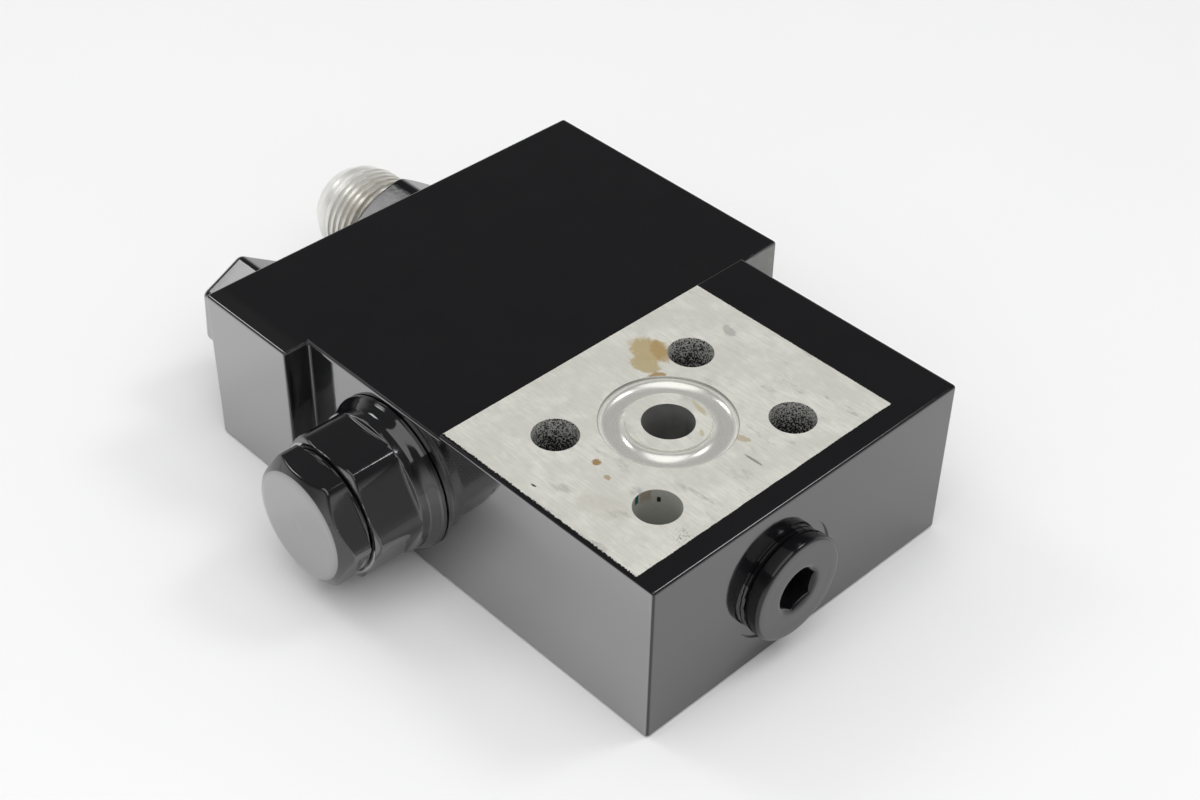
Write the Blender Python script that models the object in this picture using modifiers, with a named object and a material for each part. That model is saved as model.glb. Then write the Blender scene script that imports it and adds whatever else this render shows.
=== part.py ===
"""Hydraulic load holding valve.

A steel body bolts to a cylinder by its bare pad. A spring-loaded poppet holds
the cylinder's oil, a pilot piston pushes it open, and a relief cartridge
guards it. Metres, +Z up. The origin lies on the base, under the cylinder port.
"""

import math

import bmesh
import bpy
from mathutils import Matrix

# Clearance kept between pieces that touch or fit in each other
fit_gap = 0.0003

# Body: X runs to the plugged front face and Y to the right shoulder
front_reach = 0.0367
front_length = 0.0682
front_width = 0.1
left_reach = 0.0415
rear_length = 0.0798
rear_height = 0.044
step_height = 0.001
front_height = rear_height + step_height
right_shoulder = 0.013
left_shoulder = 0.007
left_shoulder_length = 0.0318
edge_round = 0.0009
step_round = 0.0003

# Cylinder port in the pad, with the land and the turned groove around it
port_radius = 0.00625
land_radius = 0.01
groove_radius = 0.01605
groove_depth = 0.0024
groove_wall = 0.0006

# Four clearance holes for the bolts that hold the valve to the cylinder
bolt_hole_radius = 0.0056
bolt_spacing_x = 0.0324
bolt_spacing_y = 0.0437
bolt_centre_x = 0.0023
bolt_centre_y = -0.0002

# Gallery along X from the front face to the main bore, under the port
gallery_radius = 0.0065
gallery_y = 0.0006
gallery_z = 0.021

# Socket plug that closes the gallery, with its flat seal ring
plug_thread_radius = 0.011
plug_thread_depth = 0.015
plug_shank_length = 0.012
plug_spotface_radius = 0.01555
plug_spotface_depth = 0.0005
plug_collar_radius = 0.01365
plug_collar_height = 0.004
plug_rim_round = 0.0009
plug_ring_thickness = 0.0015
plug_ring_radius = 0.0134
socket_across_flats = 0.01
socket_depth = 0.007
socket_lead = 0.0006
socket_corner_relief = 0.00012
socket_turn = 47.0

# Main bore along Y, entered from the left face; lengths follow each other inwards
bore_x = -0.0495
bore_z = 0.0224
cover_thread_radius = 0.0165
cover_thread_length = 0.01
annulus_radius = 0.015
annulus_length = 0.008
sleeve_bore_radius = 0.012
sleeve_length = 0.03
seat_length = 0.0065
pilot_bore_radius = 0.009
pilot_bore_length = 0.0355
pilot_drill_radius = 0.002
pilot_port_radius = 0.00625
pilot_port_depth = 0.014
pilot_spotface_radius = 0.012
pilot_spotface_depth = 0.0004

# Spring housing: collar on the body, round shoulder, six flats milled on the round, and
# a nose that holds the sleeve
collar_radius = 0.0202
collar_thickness = 0.0016
shoulder_radius = 0.019
shoulder_length = 0.002
round_length = 0.0027
housing_round = 0.0185
housing_hex = 0.0336
housing_hex_height = 0.0127
housing_hex_face = 0.01715
housing_nose_radius = 0.0115
housing_chamber_radius = 0.0065
housing_cross_hole = 0.002

# End cap, its seal ring and the guide that centres the main spring
cap_gap = 0.0012
cap_hex = 0.0305
cap_hex_height = 0.0078
cap_hex_face = 0.014
cap_thread_radius = 0.01
cap_thread_length = 0.01
cap_seal_radius = 0.015
guide_flange_radius = 0.0061
guide_flange_thickness = 0.002
guide_pin_radius = 0.003
guide_pin_length = 0.004
hex_corner_round = 0.0011
chamfer_angle = 30.0

# Sleeve that guides the poppet, and the oil holes that face the gallery
poppet_radius = 0.008
sleeve_relief_radius = 0.0099
sleeve_relief_length = 0.0097
sleeve_hole_radius = 0.0026
sleeve_hole_count = 4

# Seat ring, its O-ring and backup ring
seat_hole_radius = 0.0065
seal_groove_floor = 0.0094
seal_groove_length = 0.0035
backup_thickness = 0.0008

# Main poppet and its spring
poppet_guide_length = 0.0135
poppet_neck_radius = 0.0055
poppet_neck_length = 0.0071
poppet_head_length = 0.0011
poppet_nose_radius = 0.0053
poppet_pocket_radius = 0.0052
poppet_pocket_depth = 0.0115
orifice_radius = 0.0008
main_spring_radius = 0.0041
main_spring_wire = 0.0015
main_spring_turns = 5

# Pilot piston, its seal and its return spring
piston_head_length = 0.0115
piston_stem_radius = 0.003
piston_groove_floor = 0.0064
piston_groove_length = 0.003
pilot_spring_radius = 0.0074
pilot_spring_wire = 0.0012
pilot_spring_turns = 3

# Relief bore along X, entered from the rear face
relief_y = -0.02735
relief_z = 0.0224
relief_mouth_radius = 0.01
relief_mouth_depth = 0.009
relief_mouth_scale = 0.7
cartridge_radius = 0.0085
cartridge_bore_depth = 0.0285
cartridge_nose_radius = 0.0065
cartridge_nose_depth = 0.036
relief_inlet_radius = 0.0025

# Relief cap over the adjuster
relief_hex = 0.024
relief_hex_height = 0.018
relief_hex_face = 0.0116
relief_hex_round = 0.0018
relief_hex_turn = 3.0
relief_spigot_length = 0.0065
relief_hollow_radius = 0.0079
relief_hollow_depth = 0.0145

# Relief cartridge, poppet, spring, adjusting screw and lock nut
cartridge_start = 0.007
cartridge_thread_end = 0.021
screw_radius = 0.004
screw_thread_depth = 0.014
chamber_radius = 0.0035
relief_seat_depth = 0.0295
relief_seat_radius = 0.0018
relief_hole_radius = 0.0011
relief_hole_count = 4
relief_hole_setback = 0.0018
cartridge_groove_depth = 0.0303
cartridge_groove_length = 0.0026
cartridge_groove_floor = 0.0046
relief_guide_length = 0.003
relief_pin_radius = 0.0017
relief_pin_length = 0.0018
relief_tip_radius = 0.0008
button_depth = 0.0136
button_thickness = 0.002
button_pin_length = 0.0024
relief_spring_radius = 0.0024
relief_spring_wire = 0.0009
relief_spring_turns = 3
screw_stand_out = 0.006
screw_socket = 0.004
screw_socket_depth = 0.004
nut_across_flats = 0.013
nut_height = 0.005

# Flare adaptor: hexagon, thread, nose and the sealing cone
adaptor_y = 0.02065
adaptor_z = 0.0224
adaptor_port_radius = 0.0136
adaptor_port_depth = 0.017
adaptor_shank_length = 0.0155
adaptor_passage_radius = 0.0075
adaptor_bore_radius = 0.00775
adaptor_hex = 0.03175
adaptor_hex_height = 0.013
adaptor_hex_face = 0.0155
adaptor_hex_round = 0.0018
adaptor_hex_turn = 5.0
flare_neck_radius = 0.0119
flare_neck_length = 0.002
flare_thread_radius = 0.0135
flare_thread_length = 0.013
flare_nose_radius = 0.0126
flare_nose_length = 0.0035
flare_tip_radius = 0.01
flare_angle = 37.0

# Cross drilling along Y that returns relief oil to the line, and its plug
return_depth = 0.025
return_radius = 0.002
return_plug_radius = 0.004
return_plug_depth = 0.006
return_plug_length = 0.005

# Mouth of a port that an O-ring seals, for a full-size port. The ring sits a little
# nearer the face than halfway down the mouth.
mouth_width = 0.0023
mouth_depth = 0.003
mouth_ring_share = 0.47

# Pitch of a spring's closed end turns, as a share of the wire's thickness
dead_pitch_share = 1.15

# Reach of a cutter past the face that it opens, and facets around a turned piece
cutter_reach = 0.002
facets = 28
fine_facets = 36
small_facets = 16
hole_facets = 12
ring_facets = 24
section_facets = 6
groove_steps = 6

# Break on the end of a small thread
thread_lead = 3 * fit_gap

# Faces of the body
front_x = front_reach
step_x = front_x - front_length
rear_x = step_x - rear_length
notch_x = rear_x + left_shoulder_length
left_y = -left_reach
right_y = left_y + front_width
left_shoulder_y = left_y - left_shoulder
right_shoulder_y = right_y + right_shoulder

# Stations along the main bore, measured inwards from the left face
annulus_start = cover_thread_length
sleeve_start = annulus_start + annulus_length
seat_start = sleeve_start + sleeve_length
pilot_start = seat_start + seat_length
pilot_end = pilot_start + pilot_bore_length
main_depth = right_shoulder_y - left_y
gallery_station = gallery_y - left_y

# Stations outwards from the left face: hexagons and the cap
shoulder_top = collar_thickness + shoulder_length
housing_hex_low = shoulder_top + round_length
housing_top = housing_hex_low + housing_hex_height
cap_hex_low = housing_top + cap_gap
cap_top = cap_hex_low + cap_hex_height
cap_stem_end = housing_top - cap_thread_length


def clear_scene():
    """Remove what the scene holds."""
    for old in list(bpy.data.objects):
        bpy.data.objects.remove(old)


clear_scene()
parts = bpy.data.collections.new("load_holding_valve")
cutters = bpy.data.collections.new("cutters")
bpy.context.scene.collection.children.link(parts)
bpy.context.scene.collection.children.link(cutters)


def finish_material(name, colour, roughness, metallic):
    """Make one Principled material."""
    material = bpy.data.materials.new(name)
    material.use_nodes = True
    shader = material.node_tree.nodes["Principled BSDF"]
    shader.inputs["Base Color"].default_value = (*colour, 1.0)
    shader.inputs["Roughness"].default_value = roughness
    shader.inputs["Metallic"].default_value = metallic
    material.diffuse_color = (*colour, 1.0)
    return material


def black_paint(name):
    """Gloss black enamel."""
    return finish_material(name, (0.012, 0.012, 0.013), 0.22, 0.0)


def turned_steel(name):
    """Bare steel from the lathe."""
    return finish_material(name, (0.56, 0.56, 0.55), 0.32, 1.0)


def zinc_steel(name):
    """Steel under bright zinc plate."""
    return finish_material(name, (0.62, 0.62, 0.6), 0.38, 1.0)


def spring_steel(name):
    """Dark oiled wire, also the blackened adjusting screw."""
    return finish_material(name, (0.22, 0.22, 0.23), 0.4, 1.0)


def black_rubber(name):
    """Nitrile rubber of the O-rings."""
    return finish_material(name, (0.02, 0.02, 0.02), 0.6, 0.0)


def white_plastic(name):
    """Filled plastic of the backup ring."""
    return finish_material(name, (0.85, 0.84, 0.8), 0.45, 0.0)


def bore_axis(name, location, rotation):
    """An empty on a bore's axis; its +Z points out of the bore."""
    empty = bpy.data.objects.new(name, None)
    empty.location = location
    empty.rotation_euler = rotation
    parts.objects.link(empty)
    return empty


quarter = math.pi / 2
main_axis = bore_axis("main_bore_axis", (bore_x, left_y, bore_z), (quarter, 0, 0))
relief_axis = bore_axis("relief_axis", (rear_x, relief_y, relief_z), (0, -quarter, 0))
adaptor_axis = bore_axis("adaptor_axis", (rear_x, adaptor_y, adaptor_z), (0, -quarter, 0))
plug_axis = bore_axis("plug_axis", (front_x, gallery_y, gallery_z), (0, quarter, 0))
port_axis = bore_axis("port_axis", (0, 0, front_height), (0, 0, 0))
return_axis = bore_axis(
    "return_axis", (rear_x + return_depth, right_shoulder_y, relief_z), (-quarter, 0, 0)
)


def add_object(name, mesh, axis, cutter):
    """Put a mesh in the parts, or among the cutters, on an axis."""
    made = bpy.data.objects.new(name, mesh)
    made.parent = axis
    home = cutters if cutter else parts
    home.objects.link(made)
    if cutter:
        made.hide_render = True
        made.display_type = "WIRE"
    return made


def turned(name, profile, axis, cutter=False, steps=facets):
    """Turn a profile of (radius, height) points, given down its outer side."""
    ring = profile[0][0] > 0
    mesh = bpy.data.meshes.new(name)
    points = [(radius, 0.0, height) for radius, height in profile]
    edges = [(i, i + 1) for i in range(len(points) - 1)]
    if ring:
        edges.append((len(points) - 1, 0))
    mesh.from_pydata(points, edges, [])
    made = add_object(name, mesh, axis, cutter)
    screw = made.modifiers.new("turn", "SCREW")
    screw.steps = steps
    screw.render_steps = steps
    screw.use_merge_vertices = True
    screw.merge_threshold = 0.00001
    screw.use_smooth_shade = True
    return made


def hexagon(name, across_flats, low, high, axis, corner_round=0.0, turn=0.0, cutter=False):
    """A hexagonal prism between two heights, with its corners rounded."""
    bm = bmesh.new()
    radius = across_flats / math.sqrt(3)
    corner_to_x = 30
    place = Matrix.Translation((0, 0, (low + high) / 2))
    place = place @ Matrix.Rotation(math.radians(turn + corner_to_x), 4, "Z")
    depth = high - low
    bmesh.ops.create_cone(
        bm, cap_ends=True, segments=6, radius1=radius, radius2=radius, depth=depth, matrix=place
    )
    if corner_round > 0:
        upright = [e for e in bm.edges if abs(e.verts[0].co.z - e.verts[1].co.z) > (high - low) / 2]
        bmesh.ops.bevel(bm, geom=upright, offset=corner_round, segments=2, profile=0.5, affect="EDGES")
    mesh = bpy.data.meshes.new(name)
    bm.to_mesh(mesh)
    bm.free()
    return add_object(name, mesh, axis, cutter)


def rod(name, radius, low, high, axis, cutter=True, steps=facets):
    """A plain cylinder between two heights on an axis."""
    bm = bmesh.new()
    place = Matrix.Translation((0, 0, (low + high) / 2))
    depth = high - low
    bmesh.ops.create_cone(
        bm, cap_ends=True, segments=steps, radius1=radius, radius2=radius, depth=depth, matrix=place
    )
    mesh = bpy.data.meshes.new(name)
    bm.to_mesh(mesh)
    bm.free()
    return add_object(name, mesh, axis, cutter)


def cross_rod(name, radius, height, reach, turn, axis):
    """A cutter across an axis at one height, for a radial hole."""
    made = rod(name, radius, 0.0, reach, axis, steps=hole_facets)
    made.location = (0, 0, height)
    made.rotation_euler = (0, quarter, math.radians(turn))
    return made


def torus(name, centre_radius, section_radius, height, axis):
    """An O-ring around an axis."""
    bpy.ops.mesh.primitive_torus_add(
        major_radius=centre_radius,
        minor_radius=section_radius,
        major_segments=ring_facets,
        minor_segments=section_facets,
    )
    made = bpy.context.object
    made.name = name
    for home in list(made.users_collection):
        home.objects.unlink(made)
    parts.objects.link(made)
    made.parent = axis
    made.location = (0, 0, height)
    return made


def boolean(target, tool, operation):
    """Cut, join or trim a piece with another one."""
    step = target.modifiers.new(tool.name, "BOOLEAN")
    step.object = tool
    step.operation = operation
    step.solver = "EXACT"


def cut(target, *tools):
    """Take cutters away from a piece."""
    for tool in tools:
        boolean(target, tool, "DIFFERENCE")


def settle(made, material, smooth=True):
    """Keep the modelled result as the object's mesh, shade it and colour it."""
    bpy.context.view_layer.update()
    evaluated = made.evaluated_get(bpy.context.evaluated_depsgraph_get())
    mesh = bpy.data.meshes.new_from_object(evaluated)
    made.modifiers.clear()
    made.data = mesh
    mesh.name = made.name
    if smooth:
        mesh.shade_smooth()
        mesh.set_sharp_from_angle(angle=math.radians(35))
    mesh.materials.clear()
    mesh.materials.append(material)
    return made


def hex_envelope(name, face_radius, back_radius, low, high, axis):
    """The turned form that chamfers a hexagon's face, and its back unless back_radius is None."""
    slope = math.tan(math.radians(chamfer_angle))
    wide = 2 * face_radius
    if back_radius is None:
        drop = (wide - face_radius) * slope
        lower = [(wide, low - cutter_reach), (0, low - cutter_reach)]
    else:
        drop = min((wide - face_radius) * slope, (high - low) / 2)
        rise = min((wide - back_radius) * slope, (high - low) / 2)
        lower = [(back_radius, low), (0, low)]
        if drop < (high - low) / 2:
            lower.insert(0, (wide, low + rise))
    outer = [(0, high), (face_radius, high), (face_radius + drop / slope, high - drop)]
    return turned(name, outer + lower, axis, cutter=True, steps=fine_facets)


def half_round(centre_radius, centre_height, radius, start, end, steps=3):
    """Points of an arc in a profile, from one angle to another in degrees."""
    turn = [math.radians(start + (end - start) * i / steps) for i in range(steps + 1)]
    return [(centre_radius + radius * math.cos(a), centre_height + radius * math.sin(a)) for a in turn]


def coil(name, mean_radius, wire, low, high, active_turns, axis, material):
    """A compression spring between two heights, with one closed turn at each end."""
    points_per_turn = 10
    dead_pitch = wire * dead_pitch_share
    length = high - low - wire
    turns = active_turns + 2
    count = turns * points_per_turn
    active_pitch = (length - 2 * dead_pitch) / active_turns
    curve = bpy.data.curves.new(name, "CURVE")
    curve.dimensions = "3D"
    curve.bevel_depth = wire / 2
    curve.bevel_resolution = 2
    curve.use_fill_caps = True
    spline = curve.splines.new("POLY")
    spline.points.add(count)
    for i in range(count + 1):
        turn = i / points_per_turn
        rise = min(turn, 1) * dead_pitch
        rise += min(max(turn - 1, 0), active_turns) * active_pitch
        rise += max(turn - 1 - active_turns, 0) * dead_pitch
        angle = turn * 2 * math.pi
        height = low + wire / 2 + rise
        spline.points[i].co = (mean_radius * math.cos(angle), mean_radius * math.sin(angle), height, 1)
    guide = bpy.data.objects.new(name + "_wire", curve)
    cutters.objects.link(guide)
    bpy.context.view_layer.update()
    evaluated = guide.evaluated_get(bpy.context.evaluated_depsgraph_get())
    mesh = bpy.data.meshes.new_from_object(evaluated)
    bpy.data.objects.remove(guide)
    bm = bmesh.new()
    bm.from_mesh(mesh)
    bmesh.ops.remove_doubles(bm, verts=bm.verts, dist=0.000001)
    bm.to_mesh(mesh)
    bm.free()
    return settle(add_object(name, mesh, axis, False), material)


def port_mouth(thread_radius, scale=1.0):
    """Chamfer of a port's mouth, as (outer radius, depth)."""
    return thread_radius + mouth_width * scale, mouth_depth * scale


def mouth_ring(thread_radius, scale=1.0):
    """O-ring in a port's mouth: centre radius, section radius, depth and undercut radius."""
    slope = math.hypot(mouth_width, mouth_depth)
    centre = thread_radius - fit_gap * scale
    depth = mouth_ring_share * mouth_depth * scale
    offset = (thread_radius + mouth_width * scale - centre) * mouth_depth - depth * mouth_width
    section = offset / slope - fit_gap
    return centre, section, depth, centre - section - fit_gap


# Valve body: the whole plan raised to the rear's height, and the front raised by the step
plan = [
    (rear_x, left_shoulder_y),
    (notch_x, left_shoulder_y),
    (notch_x, left_y),
    (front_x, left_y),
    (front_x, right_y),
    (step_x, right_y),
    (step_x, right_shoulder_y),
    (rear_x, right_shoulder_y),
]
front_plan = [(step_x, left_y), (front_x, left_y), (front_x, right_y), (step_x, right_y)]


def raised_outline(name, outline, height, cutter=False):
    """A flat outline raised from the base to a height, as one closed mesh."""
    curve = bpy.data.curves.new(name, "CURVE")
    curve.dimensions = "2D"
    curve.fill_mode = "BOTH"
    curve.extrude = height / 2
    spline = curve.splines.new("POLY")
    spline.points.add(len(outline) - 1)
    for point, (x, y) in zip(spline.points, outline):
        point.co = (x, y, 0, 1)
    spline.use_cyclic_u = True
    flat = bpy.data.objects.new(name + "_outline", curve)
    cutters.objects.link(flat)
    bpy.context.view_layer.update()
    mesh = bpy.data.meshes.new_from_object(flat.evaluated_get(bpy.context.evaluated_depsgraph_get()))
    bpy.data.objects.remove(flat)
    bm = bmesh.new()
    bm.from_mesh(mesh)
    bmesh.ops.remove_doubles(bm, verts=bm.verts, dist=0.000001)
    bmesh.ops.translate(bm, verts=bm.verts, vec=(0, 0, height / 2))
    bmesh.ops.recalc_face_normals(bm, faces=bm.faces)
    bm.to_mesh(mesh)
    bm.free()
    return add_object(name, mesh, None, cutter)


def weigh_edges(mesh):
    """Mark the outer edges for rounding, the low step's edge more finely."""
    bm = bmesh.new()
    bm.from_mesh(mesh)
    bmesh.ops.dissolve_limit(bm, angle_limit=math.radians(1), verts=bm.verts, edges=bm.edges)
    weight = bm.edges.layers.float.new("bevel_weight_edge")
    for edge in bm.edges:
        at_step = all(abs(v.co.x - step_x) < fit_gap for v in edge.verts)
        heights = sorted(v.co.z for v in edge.verts)
        along_step = at_step and heights[0] > rear_height - fit_gap
        in_shoulder = min(v.co.y for v in edge.verts) > right_y - fit_gap
        upright = heights[1] - heights[0] > fit_gap
        if not along_step or (in_shoulder and not upright):
            edge[weight] = 1.0
        elif heights[0] > rear_height + fit_gap or upright:
            edge[weight] = step_round / edge_round
    bm.to_mesh(mesh)
    bm.free()


body = raised_outline("valve_body", plan, rear_height)
boolean(body, raised_outline("front_block", front_plan, front_height, cutter=True), "UNION")
body_paint = black_paint("body_paint")
settle(body, body_paint, smooth=False)
weigh_edges(body.data)
rounding = body.modifiers.new("rounded_edges", "BEVEL")
rounding.limit_method = "WEIGHT"
rounding.width = edge_round
rounding.segments = 2
rounding.use_clamp_overlap = False

# Main bore with its mouth, steps, pilot chamber and pilot port
cover_mouth_radius, cover_mouth_depth = port_mouth(cover_thread_radius)
pilot_face = -main_depth
main_bore = turned(
    "main_bore",
    [
        (0, cutter_reach),
        (cover_mouth_radius, cutter_reach),
        (cover_mouth_radius, 0),
        (cover_thread_radius, -cover_mouth_depth),
        (cover_thread_radius, -annulus_start),
        (annulus_radius, -annulus_start),
        (annulus_radius, -sleeve_start),
        (sleeve_bore_radius, -sleeve_start),
        (sleeve_bore_radius, -pilot_start),
        (pilot_bore_radius, -pilot_start),
        (pilot_bore_radius, -pilot_end),
        (pilot_drill_radius, -pilot_end),
        (pilot_drill_radius, pilot_face + pilot_port_depth),
        (pilot_port_radius, pilot_face + pilot_port_depth - pilot_port_radius / 2),
        (pilot_port_radius, pilot_face + pilot_spotface_depth),
        (pilot_spotface_radius, pilot_face + pilot_spotface_depth),
        (pilot_spotface_radius, pilot_face - cutter_reach),
        (0, pilot_face - cutter_reach),
    ],
    main_axis,
    cutter=True,
)

# Gallery, plug thread and spotface from the front face
gallery_length = front_x - bore_x - sleeve_bore_radius / 2
gallery = turned(
    "gallery",
    [
        (0, cutter_reach),
        (plug_spotface_radius, cutter_reach),
        (plug_spotface_radius, -plug_spotface_depth),
        (plug_thread_radius, -plug_spotface_depth),
        (plug_thread_radius, -plug_thread_depth),
        (gallery_radius, -plug_thread_depth - (plug_thread_radius - gallery_radius) / 2),
        (gallery_radius, -gallery_length),
        (0, -gallery_length),
    ],
    plug_axis,
    cutter=True,
)

# Relief bore and its inlet to the main bore's annulus
relief_mouth_outer, relief_mouth_chamfer = port_mouth(relief_mouth_radius, relief_mouth_scale)
relief_end = bore_x - rear_x - housing_nose_radius - fit_gap
relief_bore = turned(
    "relief_bore",
    [
        (0, cutter_reach),
        (relief_mouth_outer, cutter_reach),
        (relief_mouth_outer, 0),
        (relief_mouth_radius, -relief_mouth_chamfer),
        (relief_mouth_radius, -relief_mouth_depth),
        (cartridge_radius, -relief_mouth_depth),
        (cartridge_radius, -cartridge_bore_depth),
        (cartridge_nose_radius, -cartridge_bore_depth),
        (cartridge_nose_radius, -cartridge_nose_depth),
        (relief_inlet_radius, -cartridge_nose_depth),
        (relief_inlet_radius, -relief_end),
        (0, -relief_end),
    ],
    relief_axis,
    cutter=True,
)

# Adaptor port and the line passage to the main bore
adaptor_mouth_radius, adaptor_mouth_depth = port_mouth(adaptor_port_radius)
passage_end = bore_x - rear_x
adaptor_port = turned(
    "adaptor_port",
    [
        (0, cutter_reach),
        (adaptor_mouth_radius, cutter_reach),
        (adaptor_mouth_radius, 0),
        (adaptor_port_radius, -adaptor_mouth_depth),
        (adaptor_port_radius, -adaptor_port_depth),
        (adaptor_passage_radius, -adaptor_port_depth),
        (adaptor_passage_radius, -passage_end),
        (0, -passage_end),
    ],
    adaptor_axis,
    cutter=True,
)

# Return drilling from the right shoulder to the relief cartridge
return_length = right_shoulder_y - relief_y
return_bore = turned(
    "return_bore",
    [
        (0, cutter_reach),
        (return_plug_radius, cutter_reach),
        (return_plug_radius, -return_plug_depth),
        (return_radius, -return_plug_depth),
        (return_radius, -return_length),
        (0, -return_length),
    ],
    return_axis,
    cutter=True,
    steps=small_facets,
)

# Cylinder port down to the gallery, and the groove around its land
port_floor = gallery_z - front_height
port_bore = rod("port_bore", port_radius, port_floor, cutter_reach, port_axis)
groove_middle = (groove_radius + land_radius) / 2
groove_half = (groove_radius - land_radius) / 2
groove_profile = [(groove_radius, cutter_reach)]
for i in range(groove_steps + 1):
    angle = math.pi * i / groove_steps
    drop = groove_wall + (groove_depth - groove_wall) * math.sin(angle)
    groove_profile.append((groove_middle + groove_half * math.cos(angle), -drop))
groove_profile.append((land_radius, cutter_reach))
groove = turned("groove", groove_profile, port_axis, cutter=True, steps=fine_facets)

cut(body, main_bore, gallery, relief_bore, adaptor_port, return_bore, port_bore, groove)
for row in (-1, 1):
    for side in (-1, 1):
        name = f"bolt_hole_{row}_{side}"
        top = front_height + cutter_reach
        hole = rod(name, bolt_hole_radius, -cutter_reach, top, None, steps=fine_facets)
        hole.location.x = bolt_centre_x + row * bolt_spacing_x / 2
        hole.location.y = bolt_centre_y + side * bolt_spacing_y / 2
        cut(body, hole)
settle(body, body_paint)

# Spring housing: a turned round with a collar, thread and hollow nose. Six flats are
# milled on it and end in a step before the shoulder; a cross hole feeds the relief.
cover_ring, cover_section, cover_ring_depth, cover_undercut = mouth_ring(cover_thread_radius)
housing_chamfer = (housing_round - housing_hex_face) * math.tan(math.radians(chamfer_angle))
housing = turned(
    "spring_housing",
    [
        (0, housing_top),
        (housing_hex_face, housing_top),
        (housing_round, housing_top - housing_chamfer),
        (housing_round, shoulder_top),
        (shoulder_radius, collar_thickness),
        (collar_radius - 2 * fit_gap, collar_thickness),
        (collar_radius, collar_thickness - 2 * fit_gap),
        (collar_radius, fit_gap),
        (cover_undercut, fit_gap),
        (cover_undercut, -cover_mouth_depth),
        (cover_thread_radius - fit_gap, -cover_mouth_depth - fit_gap),
        (cover_thread_radius - fit_gap, -annulus_start + fit_gap),
        (housing_nose_radius, -annulus_start + fit_gap),
        (housing_nose_radius, -sleeve_start),
        (0, -sleeve_start),
    ],
    main_axis,
    steps=fine_facets,
)
flats = rod(
    "housing_flats",
    housing_round + cutter_reach,
    housing_hex_low,
    housing_top + cutter_reach,
    main_axis,
    steps=fine_facets,
)
kept_hexagon = hexagon(
    "kept_hexagon",
    housing_hex,
    housing_hex_low - cutter_reach,
    housing_top + 2 * cutter_reach,
    main_axis,
    cutter=True,
)
cut(flats, kept_hexagon)
chamber = turned(
    "housing_chamber",
    [
        (0, housing_top + cutter_reach),
        (cap_thread_radius, housing_top + cutter_reach),
        (cap_thread_radius, cap_stem_end - fit_gap),
        (housing_chamber_radius, cap_stem_end - fit_gap - guide_flange_thickness),
        (housing_chamber_radius, -sleeve_start - cutter_reach),
        (0, -sleeve_start - cutter_reach),
    ],
    main_axis,
    cutter=True,
)
relief_station = left_y - relief_y
feed = rod(
    "housing_feed",
    housing_cross_hole,
    -annulus_radius,
    annulus_radius,
    main_axis,
    steps=small_facets,
)
feed.location = (0, 0, relief_station)
feed.rotation_euler = (0, quarter, 0)
cut(housing, flats, chamber, feed)
settle(housing, black_paint("housing_paint"))
housing_ring = torus("housing_o_ring", cover_ring, cover_section, -cover_ring_depth, main_axis)
settle(housing_ring, black_rubber("housing_o_ring_rubber"))

# End cap: hexagon with a threaded stem; a flat seal ring lies under its head
end_cap = hexagon("end_cap", cap_hex, cap_hex_low, cap_top, main_axis, corner_round=hex_corner_round)
boolean(
    end_cap,
    hex_envelope("cap_envelope", cap_hex_face, None, cap_hex_low, cap_top, main_axis),
    "INTERSECT",
)
stem = turned(
    "cap_stem",
    [
        (0, cap_hex_low + hex_corner_round),
        (cap_thread_radius - fit_gap, cap_hex_low + hex_corner_round),
        (cap_thread_radius - fit_gap, cap_stem_end + 2 * fit_gap),
        (cap_thread_radius - thread_lead, cap_stem_end),
        (0, cap_stem_end),
    ],
    main_axis,
    cutter=True,
)
boolean(end_cap, stem, "UNION")
settle(end_cap, black_paint("end_cap_paint"))
end_seal = turned(
    "end_cap_seal",
    [
        (cap_seal_radius, cap_hex_low - fit_gap),
        (cap_seal_radius, housing_top + fit_gap),
        (cap_thread_radius + fit_gap, housing_top + fit_gap),
        (cap_thread_radius + fit_gap, cap_hex_low - fit_gap),
    ],
    main_axis,
)
settle(end_seal, turned_steel("end_cap_seal_steel"))

# Spring guide: a flange under the cap's stem and a pin in the spring
guide_top = cap_stem_end - fit_gap
guide_face = guide_top - guide_flange_thickness
guide = turned(
    "spring_guide",
    [
        (0, guide_top),
        (guide_flange_radius, guide_top),
        (guide_flange_radius, guide_face),
        (guide_pin_radius, guide_face),
        (guide_pin_radius, guide_face - guide_pin_length + fit_gap),
        (guide_pin_radius - 2 * fit_gap, guide_face - guide_pin_length),
        (0, guide_face - guide_pin_length),
    ],
    main_axis,
    steps=small_facets,
)
settle(guide, turned_steel("spring_guide_steel"))

# Poppet sleeve: a guide bore, an oil relief and a row of radial holes
sleeve_top = -sleeve_start - fit_gap
sleeve_end = -seat_start + fit_gap
sleeve_relief_top = -gallery_station + sleeve_relief_length / 2
sleeve_relief_low = -gallery_station - sleeve_relief_length / 2 + 3 * fit_gap
sleeve = turned(
    "poppet_sleeve",
    [
        (sleeve_bore_radius - fit_gap, sleeve_top),
        (sleeve_bore_radius - fit_gap, sleeve_relief_top),
        (sleeve_relief_radius, sleeve_relief_top),
        (sleeve_relief_radius, sleeve_relief_low),
        (sleeve_bore_radius - fit_gap, sleeve_relief_low),
        (sleeve_bore_radius - fit_gap, sleeve_end),
        (poppet_radius, sleeve_end),
        (poppet_radius, sleeve_top),
    ],
    main_axis,
)
for i in range(sleeve_hole_count):
    turn = 360 * i / sleeve_hole_count
    hole = cross_rod(
        f"sleeve_hole_{i}",
        sleeve_hole_radius,
        -gallery_station,
        sleeve_bore_radius + cutter_reach,
        turn,
        main_axis,
    )
    cut(sleeve, hole)
settle(sleeve, turned_steel("poppet_sleeve_steel"))

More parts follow.
